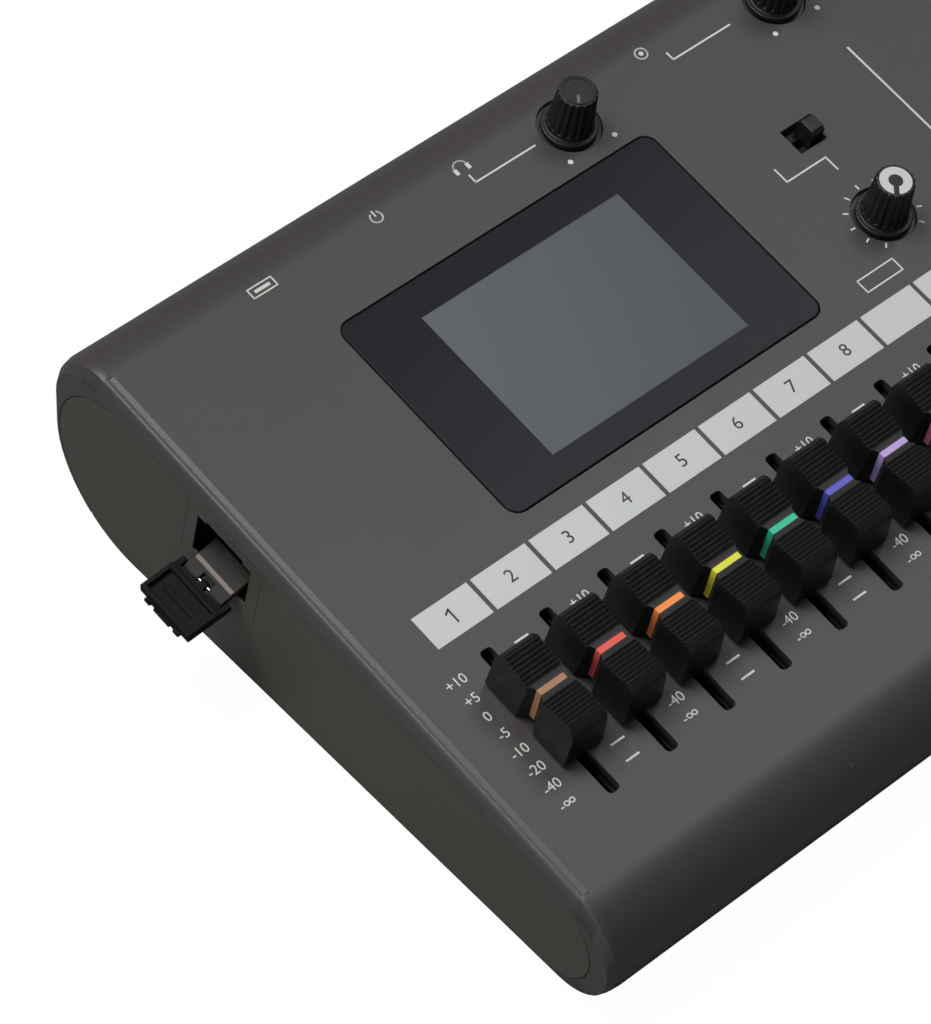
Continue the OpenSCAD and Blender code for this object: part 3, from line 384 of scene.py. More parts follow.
class Bench:
    """Modelling by Blender's operators, on one object at a time."""

    @staticmethod
    def clear() -> None:
        """Deselects everything and leaves edit mode."""
        if bpy.context.object and bpy.context.object.mode != "OBJECT":
            bpy.ops.object.mode_set(mode="OBJECT")
        bpy.ops.object.select_all(action="DESELECT")

    @classmethod
    def pick(cls, obj: Piece) -> Piece:
        """Makes obj the only selected and the active object.

        Args:
            obj: the object.

        Returns:
            The object.
        """
        cls.clear()
        obj.select_set(True)
        bpy.context.view_layer.objects.active = obj
        return obj

    @classmethod
    def settle(cls, obj: Piece, place: Matrix) -> Piece:
        """Puts obj at a place and applies it to its mesh.

        Args:
            obj: the object.
            place: the matrix of its place.

        Returns:
            The object.
        """
        obj.matrix_world = place @ obj.matrix_world
        cls.pick(obj)
        bpy.ops.object.transform_apply()
        return obj

    @classmethod
    def edit(cls, obj: Piece, work: Callable[[], None], mode: str = "FACE") -> Piece:
        """Runs operators in edit mode with everything selected.

        Args:
            obj: the mesh to work on.
            work: the operators.
            mode: VERT, EDGE or FACE select mode.

        Returns:
            The object.
        """
        cls.pick(obj)
        bpy.ops.object.mode_set(mode="EDIT")
        bpy.ops.mesh.select_mode(type=mode)
        bpy.ops.mesh.select_all(action="SELECT")
        work()
        bpy.ops.object.mode_set(mode="OBJECT")
        return obj

    @staticmethod
    def select_edges(obj: Piece, test: Callable[[Vector, Vector], bool]) -> None:
        """Selects, from edit mode, the edges whose two ends pass a test.

        Args:
            obj: the mesh in edit mode.
            test: takes an edge's two ends.
        """
        bpy.ops.mesh.select_all(action="DESELECT")
        bpy.ops.object.mode_set(mode="OBJECT")
        verts = obj.data.vertices
        for edge in obj.data.edges:
            if test(*(verts[i].co for i in edge.vertices)):
                edge.select = True
        bpy.ops.object.mode_set(mode="EDIT")

    @classmethod
    def block(cls, name: str, size: Sequence[float], place: Matrix, round_by: float = 0.0,
              at: Sequence[float] = ORIGIN) -> Piece:
        """A block that stands on its place, with rounded edges.

        Args:
            name: the piece's name.
            size: width, depth and height in millimetres.
            place: where it stands.
            round_by: radius of its edges.
            at: offset of its foot's middle from the place.

        Returns:
            The object.
        """
        cls.clear()
        bpy.ops.mesh.primitive_cube_add(size=1.0, location=(at[0], at[1], at[2] + size[2] / 2))
        obj = bpy.context.object
        obj.name = name
        obj.scale = size
        bpy.ops.object.transform_apply()
        if round_by > 0.0:
            cls.edit(obj, lambda: bpy.ops.mesh.bevel(offset=round_by, segments=2, affect="EDGES"), "EDGE")
        return cls.settle(obj, place)

    @classmethod
    def disc(cls, name: str, radius: float, height: float, place: Matrix, hole: float = 0.0,
             round_by: float = 0.0, at: Sequence[float] = ORIGIN,
             sides: int = 48) -> Piece:
        """A round plate or ring that stands on its place.

        Args:
            name: the piece's name.
            radius: its outer radius.
            height: its height.
            place: where it stands.
            hole: radius of a hole through it, or 0.
            round_by: radius of its rims.
            at: offset of its foot's middle.
            sides: number of sides.

        Returns:
            The object.
        """
        cls.clear()
        bpy.ops.mesh.primitive_circle_add(vertices=sides, radius=radius, fill_type="NGON", location=tuple(at))
        obj = bpy.context.object
        obj.name = name

        def raise_it() -> None:
            """Opens the hole and gives the plate its height."""
            if hole > 0.0:
                bpy.ops.mesh.inset(thickness=radius - hole, depth=0.0)
                bpy.ops.mesh.delete(type="FACE")
                bpy.ops.mesh.select_all(action="SELECT")
            bpy.ops.mesh.extrude_region_move(TRANSFORM_OT_translate={"value": (0.0, 0.0, height)})
            bpy.ops.mesh.select_all(action="SELECT")
            bpy.ops.mesh.normals_make_consistent(inside=False)

        cls.edit(obj, raise_it)
        bpy.ops.object.transform_apply()
        if round_by > 0.0:
            cls.bevel(obj, round_by, segments=2, angle=50.0)
        return cls.settle(obj, place)

    @classmethod
    def stroke(cls, name: str, points: Sequence[Point], width: float, height: float,
               place: Matrix, closed: bool = False) -> Piece:
        """A printed line of even width through points on the panel.

        Args:
            name: the piece's name.
            points: its corners in millimetres.
            width: its width.
            height: the ink's thickness.
            place: the frame of the points.
            closed: whether the last point joins the first.

        Returns:
            The object.
        """
        pts = list(points) + ([points[0]] if closed else [])
        bars = []
        for (ax, ay), (bx, by) in zip(pts, pts[1:]):
            run = math.hypot(bx - ax, by - ay)
            spot = (place @ Matrix.Translation(((ax + bx) / 2, (ay + by) / 2, 0.0))
                    @ Matrix.Rotation(math.atan2(by - ay, bx - ax), 4, "Z"))
            bars.append(cls.block(name + "_bar", (run + width, width, height), spot))
        return cls.join(name, bars)

    @classmethod
    def word(cls, name: str, body: str, size: float, height: float, place: Matrix) -> Piece:
        """A printed number or sign.

        Args:
            name: the piece's name.
            body: what it says.
            size: letter size in millimetres.
            height: the ink's thickness.
            place: where its middle stands.

        Returns:
            The object.
        """
        cls.clear()
        bpy.ops.object.text_add()
        obj = bpy.context.object
        obj.name = name
        obj.data.body = body
        obj.data.size = size
        obj.data.extrude = height / 2
        obj.data.resolution_u = 3
        obj.data.align_x = "CENTER"
        obj.data.align_y = "CENTER"
        cls.pick(obj)
        bpy.ops.object.convert(target="MESH")
        obj = bpy.context.object
        obj.location.z += height / 2
        return cls.settle(obj, place)

    @classmethod
    def join(cls, name: str, parts: Iterable[Piece]) -> Piece:
        """Joins objects into one piece.

        Args:
            name: the piece's name.
            parts: the objects.

        Returns:
            The piece.
        """
        parts = list(parts)
        cls.clear()
        for part in parts:
            part.select_set(True)
        bpy.context.view_layer.objects.active = parts[0]
        if len(parts) > 1:
            bpy.ops.object.join()
        parts[0].name = name
        return parts[0]

    @classmethod
    def modify(cls, obj: Piece, kind: str, **settings: object) -> Piece:
        """Gives an object a modifier with its settings, and applies it.

        Args:
            obj: the object.
            kind: the modifier's type.
            settings: its settings.

        Returns:
            The object.
        """
        cls.pick(obj)
        mod = obj.modifiers.new(kind.lower(), kind)
        for key, setting in settings.items():
            setattr(mod, key, setting)
        bpy.ops.object.modifier_apply(modifier=mod.name)
        return obj

    @classmethod
    def bevel(cls, obj: Piece, width: float, segments: int, angle: float) -> Piece:
        """Rounds an object's edges that are sharper than an angle."""
        return cls.modify(obj, "BEVEL", width=width, segments=segments, limit_method="ANGLE",
                          angle_limit=math.radians(angle), use_clamp_overlap=False)

    @classmethod
    def cut(cls, obj: Piece, tool: Piece) -> Piece:
        """Cuts a tool out of an object and removes the tool.

        Args:
            obj: the object.
            tool: the shape to cut out.

        Returns:
            The object.
        """
        cls.modify(obj, "BOOLEAN", operation="DIFFERENCE", solver="EXACT", object=tool)
        bpy.data.objects.remove(tool)
        return obj

    @classmethod
    def smooth(cls, obj: Piece, angle: float = 35.0) -> Piece:
        """Shades an object smooth up to an angle, with its flat faces kept flat.

        Args:
            obj: the object.
            angle: the angle in degrees.

        Returns:
            The object.
        """
        cls.pick(obj)
        bpy.ops.object.shade_smooth_by_angle(angle=math.radians(angle))
        return cls.modify(obj, "WEIGHTED_NORMAL", keep_sharp=True)

    @classmethod
    def merged(cls, node: str) -> Piece:
        """A copy of a CAD node whose flat faces are merged again.

        Args:
            node: the CAD node.

        Returns:
            The copy.
        """
        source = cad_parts[node]
        obj = bpy.data.objects.new("soft_" + node, source.data.copy())
        bpy.context.scene.collection.objects.link(obj)

        def merge() -> None:
            """Merges doubled corners and flat neighbours."""
            bpy.ops.mesh.remove_doubles(threshold=WELD)
            bpy.ops.mesh.dissolve_limited(angle_limit=math.radians(FLAT), use_dissolve_boundaries=False)

        return cls.edit(obj, merge, "VERT")


class Assembly:
    """Base of the sub-assemblies: carries the panel frame and the node groups, and dresses pieces."""

    def __init__(self, panel: Panel, groups: NodeGroups) -> None:
        """Keeps what every sub-assembly needs."""
        self.panel = panel
        self.groups = groups

    def dress(self, obj: Piece, finish: Finish | DisplayPaintedFalloff, body: str = CASE,
              slot: str = "case_grey", stands_for: Sequence[str] = ()) -> Piece:
        """Gives a piece its finish and its body.

        Args:
            obj: the piece.
            finish: its finish.
            body: the CAD body that it rides on.
            slot: the record's material slot; not used.
            stands_for: CAD nodes that it replaces.

        Returns:
            The piece.
        """
        obj.data.materials.clear()
        obj.data.materials.append(finish.material(self.groups))
        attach(obj, body)
        if stands_for:
            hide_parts(*stands_for)
        LOG.info("%s rides on %s in %s", obj.name, body, finish.name)
        return obj

    def paint(self, node: str, finish: Finish) -> None:
        """Gives a CAD node that stays as it is a procedural finish.

        Args:
            node: the CAD node.
            finish: its finish.
        """
        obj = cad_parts[node]
        mat = finish.material(self.groups)
        obj.data.materials.clear()
        obj.data.materials.append(mat)
        LOG.info("%s keeps its CAD shape in %s", node, finish.name)

    def soften(self, node: str, finish: Finish, width: float, body: str = CASE, slot: str = "case_grey",
               segments: int = 2, angle: float = 40.0, shade: float = 35.0) -> Piece:
        """Replaces a CAD node with a copy whose sharp edges are rounded.

        Args:
            node: the CAD node.
            finish: its finish.
            width: radius of its edges in millimetres.
            body: the CAD body that it rides on.
            slot: the record's material slot.
            segments: steps of each rounding.
            angle: edges sharper than this are rounded.
            shade: faces closer than this are shaded smooth.

        Returns:
            The copy.
        """
        obj = Bench.bevel(Bench.merged(node), width * MM, segments, angle)
        return self.dress(Bench.smooth(obj, shade), finish, body, slot, (node,))


@dataclass
class FaderSizes:
    """Sizes of the fader row in millimetres."""

    first_u: float = 20.5
    pitch: float = 14.0
    home_v: float = -39.5
    count: int = 10
    cap_h: float = 11.6
    saddle: float = 1.5
    line_w: float = 1.3
    line_low: float = 1.6
    line_r: float = 0.05
    half_l: float = 10.6
    slant: float = 2.2
    slant_tool: Triple = (14.0, 9.0, 5.0)
    waist: float = 2.4
    waist_cut: float = 3.0
    edge_r: float = 0.08
    inlay: float = 0.16


@dataclass
class OpeningSizes:
    """Sizes of the panel's slots and of the glass's opening in millimetres."""

    slot_v: float = -41.204
    slot_w: float = 2.7
    slot_l: float = 35.3
    slot_r: float = 0.8
    slot_depth: float = 2.3
    glass_u: float = 82.45
    glass_v: float = 19.3
    glass_w: float = 78.9
    glass_d: float = 51.0
    glass_r: float = 2.9
    glass_depth: float = 1.3
    bite: float = 0.3
    step: float = 0.01


@dataclass
class ShoulderSizes:
    """Sizes of the stepped shoulder at each end of the panel in millimetres."""

    inset: float = 3.3
    edge: float = 1.4
    edge_r: float = 0.36
    edge_slack: float = 0.05
    least_run: float = 60.0
    other_r: float = 0.1
    step: float = 0.45
    run: float = 0.88
    lap: float = 0.1
    thick: float = 0.2
    ramp_r: float = 0.05
    front: float = -70.7
    back: float = 60.0


@dataclass
class GripSizes:
    """Sizes of the finger ribs on the battery door in millimetres."""

    ribs: int = 6
    first: float = 4.0
    pitch: float = 1.6
    longest: float = 16.0
    shorter: float = 1.2
    width: float = 0.7
    height: float = 0.4
    proud: float = 0.2
    edge_r: float = 0.12


class Case(Assembly):
    """Covers, side panels, jack panel, feet and what lies inside."""

    openings = OpeningSizes()
    shoulder = ShoulderSizes()
    grip = GripSizes()

    def build(self) -> None:
        """Dresses the case."""
        self._top_cover()
        self._shoulder_ramps()
        self._corner_fills()
        self.soften("bottom_cover", BASE_DARK, 0.25, slot="base_dark", angle=30.0)
        for side in ("left_side_panel", "right_side_panel"):
            self.soften(side, SIDE_GREY, 0.08)
        self.soften("card_housing", SIDE_GREY, 0.06)
        self.soften("rear_panel", REAR_DARK, 0.2, slot="base_dark")
        self.soften("battery_door", BASE_DARK, 0.25, slot="base_dark", body="battery_door")
        self.soften("rubber_feet", RUBBER, 0.5, slot="rubber", segments=3)
        self.soften("case_screws", STEEL, 0.2, slot="component_metal")
        for finish, nodes in ((BOARD, ("main_board", "jack_board")),
                              (STEEL, ("pot_bodies", "tact_switches", "card_reader", "battery_contacts")),
                              (CONTROL_BLACK, ("fader_bodies", "switch_bodies", "lcd_module")),
                              (CELL_WRAP, ("battery_cells",))):
            for node in nodes:
                self.paint(node, finish)
        self._door_grip()

    def _top_cover(self) -> None:
        """The top cover with soft shoulder edges."""
        s = self.shoulder
        cover = Bench.merged("top_cover")
        low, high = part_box("top_cover")

        def on_shoulder(a: Vector, b: Vector) -> bool:
            """Tells a shoulder's long edge.

            Args:
                a: one end of an edge.
                b: its other end.

            Returns:
                Whether the edge runs along a shoulder.
            """
            if abs(a.x - b.x) > NEAR or abs(a.y - b.y) < s.least_run * MM:
                return False
            return abs(min(a.x - low.x, high.x - a.x) / MM - s.edge) < s.edge_slack

        def round_shoulder() -> None:
            """Rounds the shoulders' long edges."""
            Bench.select_edges(cover, on_shoulder)
            bpy.ops.mesh.bevel(offset=s.edge_r * MM, segments=3, affect="EDGES")

        Bench.edit(cover, round_shoulder, "EDGE")
        Bench.bevel(cover, s.other_r * MM, segments=2, angle=31.0)
        self.dress(Bench.smooth(cover, angle=40.0), CASE_GREY, stands_for=("top_cover",))

    def _shoulder_ramps(self) -> None:
        """Sloped faces from the panel down to the strip of each shoulder."""
        s = self.shoulder
        low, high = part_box("top_cover")
        slope = math.atan2(s.step, s.run)
        ramps = []
        for side, u in ((-1.0, s.inset), (1.0, (high.x - low.x) / MM - s.inset)):
            place = (self.panel.at(u - side * s.lap, (s.front + s.back) / 2, s.lap * math.tan(slope))
                     @ Matrix.Rotation(side * slope, 4, "Y"))
            size = ((s.run + s.lap) / math.cos(slope), s.back - s.front, s.thick)
            ramps.append(Bench.block("ramp", size, place, s.ramp_r, (side * size[0] / 2, 0.0, -s.thick)))
        self.dress(Bench.join("shoulder_ramps", ramps), CASE_GREY)

    def _corner_fills(self) -> None:
        """Fills that round the corners of the panel's slots and of the glass's opening."""
        s, row = self.openings, FaderSizes()
        holes = [(row.first_u + i * row.pitch, s.slot_v, s.slot_w / 2, s.slot_l / 2, s.slot_r, s.slot_depth)
                 for i in range(row.count)]
        holes.append((s.glass_u, s.glass_v, s.glass_w / 2, s.glass_d / 2, s.glass_r, s.glass_depth))
        fills = []
        for u, v, half_w, half_l, radius, depth in holes:
            for a, b in ((-1.0, -1.0), (-1.0, 1.0), (1.0, -1.0), (1.0, 1.0)):
                place = self.panel.at(u + a * (half_w - radius), v + b * (half_l - radius), -depth)
                side = radius + s.bite
                fill = Bench.block("fill", (side, side, depth - s.step), place,
                                   at=(a * side / 2, b * side / 2, 0.0))
                tool = Bench.disc("round", radius, depth + 2 * OVER, place, at=(0.0, 0.0, -OVER))
                fills.append(Bench.cut(fill, tool))
        self.dress(Bench.smooth(Bench.join("panel_corners", fills), angle=30.0), CASE_GREY)

    def _door_grip(self) -> None:
        """Finger ribs at the battery door's free edge."""
        s = self.grip
        low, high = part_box("battery_door")
        place = Matrix.Translation(((low.x + high.x) / 2, high.y, low.z)) @ Matrix.Scale(MM, 4)
        ribs = []
        for i in range(s.ribs):
            size = (s.longest - i * s.shorter, s.width, s.height)
            spot = place @ Matrix.Translation((0.0, -s.first - i * s.pitch, -s.proud))
            ribs.append(Bench.block("rib", size, spot, s.edge_r))
        self.dress(Bench.join("door_grip", ribs), BASE_DARK, "battery_door", "base_dark")


@dataclass
class ScreenSizes:
    """Sizes of the display in millimetres."""

    u: float = 57.8
    width: float = 49.3
    depth: float = 37.0
    film: float = 0.05


class Screen(Assembly):
    """Touch glass with the display's picture behind it."""

    sizes = ScreenSizes()

    def build(self) -> None:
        """Dresses the glass and lays the picture."""
        s = self.sizes
        self.soften("screen_glass", GLASS_BLACK, 0.25, slot="glass_black", angle=50.0)
        place = self.panel.at(s.u + s.width / 2, s.depth / 2)
        picture = Bench.block("display_picture", (s.width, s.depth, s.film), place)
        # the display's grey carries a painted light falloff from back-left to front-right
        look = DisplayPaintedFalloff("display_painted_falloff", DISPLAY_PAINTED_LIT, DISPLAY_PAINTED_SHADED,
                             self.panel.point(s.u, s.depth), self.panel.point(s.u + s.width, 0.0))
        self.dress(picture, look, slot="display")


class FaderRow(Assembly):
    """Ten ribbed caps with coloured lines, and their levers."""

    sizes = FaderSizes()

    def build(self) -> None:
        """Dresses each fader."""
        for i in range(1, self.sizes.count + 1):
            body = f"fader_{i}"
            self._cap(i, body)
            self.paint(f"fader_lever_{i}", STEEL)
            self._line(i, body)

    def _cap(self, i: int, body: str) -> None:
        """A cap with slanted ends and a narrow waist.

        Args:
            i: the fader's number.
            body: the CAD body that it rides on.
        """
        s = self.sizes
        cap = Bench.merged(f"fader_cap_{i}")
        place = self.panel.at(s.first_u + (i - 1) * s.pitch, s.home_v)
        for side in (-1.0, 1.0):
            spot = (place @ Matrix.Translation((0.0, side * (s.half_l - s.slant / 2), s.cap_h - s.slant / 2))
                    @ Matrix.Rotation(-side * math.pi / 4, 4, "X"))
            Bench.cut(cap, Bench.block("slant", s.slant_tool, spot))
            spot = place @ Matrix.Translation((side * (s.waist + s.waist_cut), 0.0, -OVER))
            Bench.cut(cap, Bench.disc("waist", s.waist_cut, s.cap_h + 2 * OVER, spot, sides=4))
        Bench.bevel(cap, s.edge_r * MM, segments=2, angle=24.0)
        self.dress(Bench.smooth(cap, angle=30.0), CAP_BLACK, body, "cap_black", (f"fader_cap_{i}",))

    def _line(self, i: int, body: str) -> None:
        """The coloured line over a cap's saddle and down both flanks.

        Args:
            i: the fader's number.
            body: the CAD body that it rides on.
        """
        s = self.sizes
        place = self.panel.at(s.first_u + (i - 1) * s.pitch, s.home_v)
        top = s.cap_h - s.saddle
        face = s.waist + s.line_w / 2
        size = (2 * (face + s.line_r), s.line_w, s.inlay)
        parts = [Bench.block("line_top", size, place, s.line_r, (0.0, 0.0, top - s.line_r))]
        size = (s.inlay, s.line_w, top - s.line_low)
        for side in (-1.0, 1.0):
            parts.append(Bench.block("line_side", size, place, s.line_r, (side * face, 0.0, s.line_low)))
        finish = Finish(f"line_colour_{i}", LINE_COLOURS[i - 1], 0.45, drift=0.05)
        self.dress(Bench.smooth(Bench.join(f"cap_line_{i}", parts)), finish, body, "cap_black")


@dataclass
class ControlSizes:
    """Places of the knobs and sizes of the controls' marks in millimetres."""

    phones: Point = (110.4, 54.6)
    output: Point = (164.6, 54.6)
    balance: Point = (146.5, 3.8)
    gain_a: Point = (190.975, 54.6)
    gain_b: Point = (225.1, 54.6)
    knob_h: float = 10.6
    sunk: float = 0.03
    least_turn: float = 140.0
    ring_r: float = 3.2
    ring_hole: float = 1.45
    ring_h: float = 0.1
    gap_w: float = 1.1
    gap_l: float = 3.0
    gap_at: float = 2.6
    rim_r: float = 3.3
    rim_hole: float = 2.9
    rim_h: float = 0.22
    rim_edge: float = 0.08
    pointer: Triple = (0.6, 1.9, 0.12)
    pointer_at: float = 1.9
    pointer_edge: float = 0.05
    film: float = 0.05
    square: float = 3.6
    sign_r: float = 2.1
    arrow_at: float = 1.5


class Controls(Assembly):
    """Knobs, slide switches and keys."""

    sizes = ControlSizes()

    def build(self) -> None:
        """Dresses the controls and adds their marks."""
        s = self.sizes
        for name, spot in (("phones_knob", s.phones), ("output_knob", s.output), ("balance_knob", s.balance),
                           ("gain_a_knob", s.gain_a), ("gain_b_knob", s.gain_b)):
            self.soften(name, CONTROL_BLACK, 0.3, name, "control_black", segments=3, angle=30.0, shade=28.0)
            if name == "balance_knob":
                self._ring(name, spot)
            else:
                self._pointer(name, spot)
        for name in ("click_switch", "phantom_switch", "guitar_switch", "power_switch"):
            self.soften(name, CONTROL_BLACK, 0.25, name, "control_black", angle=30.0)
        for name in ("rewind_key", "forward_key", "stop_key", "play_key", "record_key"):
            self.soften(name, KEY_GREY, 0.5, name, "key_grey", segments=3)
            self._key_sign(name)

    def _knob_top(self, spot: Point) -> Matrix:
        """The place of the marks on a knob's top, turned to its lower stop."""
        return self.panel.at(*spot, self.sizes.knob_h - self.sizes.sunk, self.sizes.least_turn)

    def _ring(self, name: str, spot: Point) -> None:
        """Light ring on a knob's top, open at its pointer.

        Args:
            name: the knob.
            spot: its place on the panel.
        """
        s = self.sizes
        place = self._knob_top(spot)
        ring = Bench.disc("knob_ring", s.ring_r, s.ring_h, place, hole=s.ring_hole)
        cut = Bench.block("ring_cut", (s.gap_w, s.gap_l, 2 * OVER), place, at=(0.0, s.gap_at, -OVER))
        self.dress(Bench.cut(ring, cut), RING_GREY, name, "control_black")

    def _pointer(self, name: str, spot: Point) -> None:
        """Raised rim and pointer bar on a knob's top.

        Args:
            name: the knob.
            spot: its place on the panel.
        """
        s = self.sizes
        place = self._knob_top(spot)
        rim = Bench.disc("knob_rim", s.rim_r, s.rim_h, place, hole=s.rim_hole, round_by=s.rim_edge)
        self.dress(Bench.smooth(rim), CONTROL_BLACK, name, "control_black")
        bar = Bench.block(name + "_pointer", s.pointer, place, s.pointer_edge, (0.0, s.pointer_at, 0.0))
        self.dress(bar, POINTER_GREY, name, "control_black")

    def _key_sign(self, name: str) -> None:
        """The transport sign on a key's top.

        Args:
            name: the key.
        """
        s = self.sizes
        tops = [v.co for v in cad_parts[name].data.vertices]
        normal = Vector((0.0, -math.sin(self.panel.tilt), math.cos(self.panel.tilt)))
        crest = max(c.dot(normal) for c in tops)
        level = [c for c in tops if abs(c.dot(normal) - crest) < NEAR]
        middle = sum(level, Vector()) / len(level)
        place = Matrix.Translation(middle) @ Matrix.Rotation(self.panel.tilt, 4, "X") @ Matrix.Scale(MM, 4)
        if name == "stop_key":
            sign = Bench.block("sign", (s.square, s.square, s.film), place)
        elif name == "record_key":
            sign = Bench.disc("sign", s.sign_r, s.film, place)
        elif name == "play_key":
            sign = self._arrow(place, 0.0, 1.0)
        else:
            way = -1.0 if name == "rewind_key" else 1.0
            sign = Bench.join("sign", [self._arrow(place, x, way) for x in (-s.arrow_at, s.arrow_at)])
        sign.name = name + "_sign"
        self.dress(sign, RECORD_RED if name == "record_key" else PRINT_WHITE, name, "key_grey")

    def _arrow(self, place: Matrix, x: float, way: float) -> Piece:
        """A flat triangle that points along its row.

        Args:
            place: the middle of the key's top.
            x: distance from there along the row.
            way: 1 to point right, -1 to point left.

        Returns:
            The triangle.
        """
        turn = Matrix.Translation((x, 0.0, 0.0)) @ Matrix.Rotation(0.0 if way > 0 else math.pi, 4, "Z")
        spot = place @ turn @ Matrix.Rotation(-math.pi / 2, 4, "Z")
        return Bench.disc("arrow", self.sizes.sign_r, self.sizes.film, spot, sides=3)


@dataclass
class BaySizes:
    """Sizes of the card bay and the strap's band in millimetres, in panel directions."""

    front: float = 15.7
    length: float = 15.0
    floor: float = -17.5
    height: float = 11.1
    mouth: float = 0.35
    reach: float = 7.6
    film: float = 0.04
    strap_slope: float = 19.0
    band: Triple = (0.9, 10.2, 0.14)
    band_at: Triple = (2.6, 0.0, 0.72)
    band_edge: float = 0.04


class CardBay(Assembly):
    """Card cover on its strap, hanging open, and near-black films painted as shade in the bay."""

    sizes = BaySizes()

    def build(self) -> None:
        """Dresses the cover, strap and pin, and adds the band and the near-black films painted as shade in the
        bay.
        """
        self.soften("card_cover", COVER_BLACK, 0.22, "card_cover", "control_black")
        self.soften("card_strap", STRAP_GREY, 0.2, "card_strap", "strap_grey")
        self.soften("card_cover_pin", NICKEL, 0.1, "card_strap", "component_metal")
        self._band()
        self._painted_bay_shade()

    def _painted_bay_shade(self) -> None:
        """Near-black films on the bay's floor and two ends, as painted shade of the recess."""
        s = self.sizes
        u = s.reach / 2 + s.mouth
        place = self.panel.at(u, s.front + s.length / 2, s.floor)
        shade_films = [Bench.block("wall", (s.reach, s.length, s.film), place)]
        for v in (s.front + s.film / 2, s.front + s.length - s.film / 2):
            shade_films.append(Bench.block("wall", (s.reach, s.film, s.height), self.panel.at(u, v, s.floor)))
        # painted shade: the films darken the bay's floor and ends
        self.dress(Bench.join("bay_shade_films", shade_films), BAY_PAINTED_SHADE)

    def _band(self) -> None:
        """A thin band across the strap's top, beside the hinge."""
        s = self.sizes
        low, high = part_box("card_cover_pin")
        place = (Matrix.Translation((low + high) / 2) @ Matrix.Rotation(self.panel.tilt, 4, "X")
                 @ Matrix.Rotation(-math.radians(s.strap_slope), 4, "Y") @ Matrix.Scale(MM, 4))
        band = Bench.block("strap_band", s.band, place, s.band_edge, s.band_at)
        self.dress(band, STRAP_BAND, "card_strap", "strap_grey")


@dataclass
class SocketSizes:
    """Places and sizes of the jacks' ring nuts in millimetres."""

    jacks_u: tuple[float, ...] = (96.68, 132.89, 154.19)
    rear_y: float = 66.5
    axis_z: float = 18.5
    nut_r: float = 6.2
    nut_hole: float = 4.7
    nut_h: float = 0.5
    nut_edge: float = 0.15


class Sockets(Assembly):
    """Rear jacks with their ring nuts, and the USB socket."""

    sizes = SocketSizes()

    def build(self) -> None:
        """Dresses the sockets and adds the nuts."""
        s = self.sizes
        self.soften("phone_jacks", CONTROL_BLACK, 0.3, slot="control_black")
        self.soften("combo_jacks", CONTROL_BLACK, 0.3, slot="control_black")
        self.soften("usb_socket", NICKEL, 0.15, slot="component_metal")
        for i, u in enumerate(s.jacks_u):
            place = self.panel.rear(u, s.rear_y, s.axis_z)
            nut = Bench.disc(f"jack_nut_{i + 1}", s.nut_r, s.nut_h, place, s.nut_hole, s.nut_edge, sides=12)
            self.dress(nut, NICKEL, slot="component_metal")


@dataclass(frozen=True)
class Line:
    """A printed line: its corners on the panel, its width in millimetres, and whether it closes."""

    points: tuple[Point, ...]
    width: float = 0.36
    closed: bool = False


PANEL_LINES = (
    Line(((86.6, 56.6), (86.6, 54.7), (101.6, 54.7))),
    Line(((137.8, 56.6), (137.8, 54.7), (152.8, 54.7))),
    Line(((136.1, 23.6), (136.1, 20.1), (146.4, 20.1), (146.4, 16.7))),
    Line(((131.2, -4.8), (140.5, -4.8), (140.5, -7.85), (131.2, -7.85)), 0.3, True),
    Line(((168.5, 37.0), (168.5, -62.0)), 0.45),
)
FIGURE_ONE = Line(((-0.8, 0.85), (0.15, 1.45), (0.15, -1.45)), 0.4)
ALL_LEVELS = (("+10", -25.8), ("+5", -30.1), ("0", -34.3), ("-5", -38.6), ("-10", -42.9), ("-20", -47.3),
              ("-40", -51.5), ("-∞", -55.6))
MAIN_LEVELS = (("+10", -25.9), ("-40", -51.6), ("-∞", -55.5))
DASH_LEVELS = (-25.8, -51.6, -55.6)


@dataclass
class PrintSizes:
    """Sizes of the panel's printing in millimetres."""

    ink: float = 0.04
    tile_u: float = 13.9
    tile_v: float = -18.8
    tile_w: float = 13.06
    tile_d: float = 7.66
    numbered: int = 8
    digit: float = 4.0
    scale_u: float = 12.0
    scale_digit: float = 2.9
    mark_u: float = 27.4
    mark_l: float = 3.2
    mark_w: float = 0.42
    dot_r: float = 0.55
    dot_u: float = 5.7
    dot_v: float = 6.8
    ticks: int = 5
    tick_turn: float = 28.0
    tick_w: float = 0.35
    tick_l: float = 1.1
    tick_at: float = 7.5
    lamp_at: Triple = (59.84, -79.44, -3.4)
    lamp_turn: float = 44.0
    lamp_r: float = 0.5
    lamp_h: float = 0.12
    lamp_sunk: float = 0.04
    lamp_edge: float = 0.05


@dataclass
class SignSizes:
    """Places and sizes of the signs above the sockets in millimetres."""

    v: float = 59.4
    line: float = 0.3
    arc_steps: int = 14
    port_u: float = 38.0
    port_half_w: float = 2.8
    port_half_d: float = 1.1
    tongue_w: float = 3.6
    tongue_d: float = 0.7
    power_u: float = 65.8
    power_r: float = 1.25
    power_start: float = 130.0
    power_end: float = 410.0
    stem_l: float = 1.5
    stem_v: float = 0.9
    phones_u: float = 86.5
    phones_r: float = 1.5
    phones_v: float = -0.4
    pad_w: float = 0.8
    pad_d: float = 1.4
    pad_u: float = 1.45
    pad_v: float = -0.9
    output_u: float = 133.5
    output_r: float = 1.3
    centre_r: float = 0.5


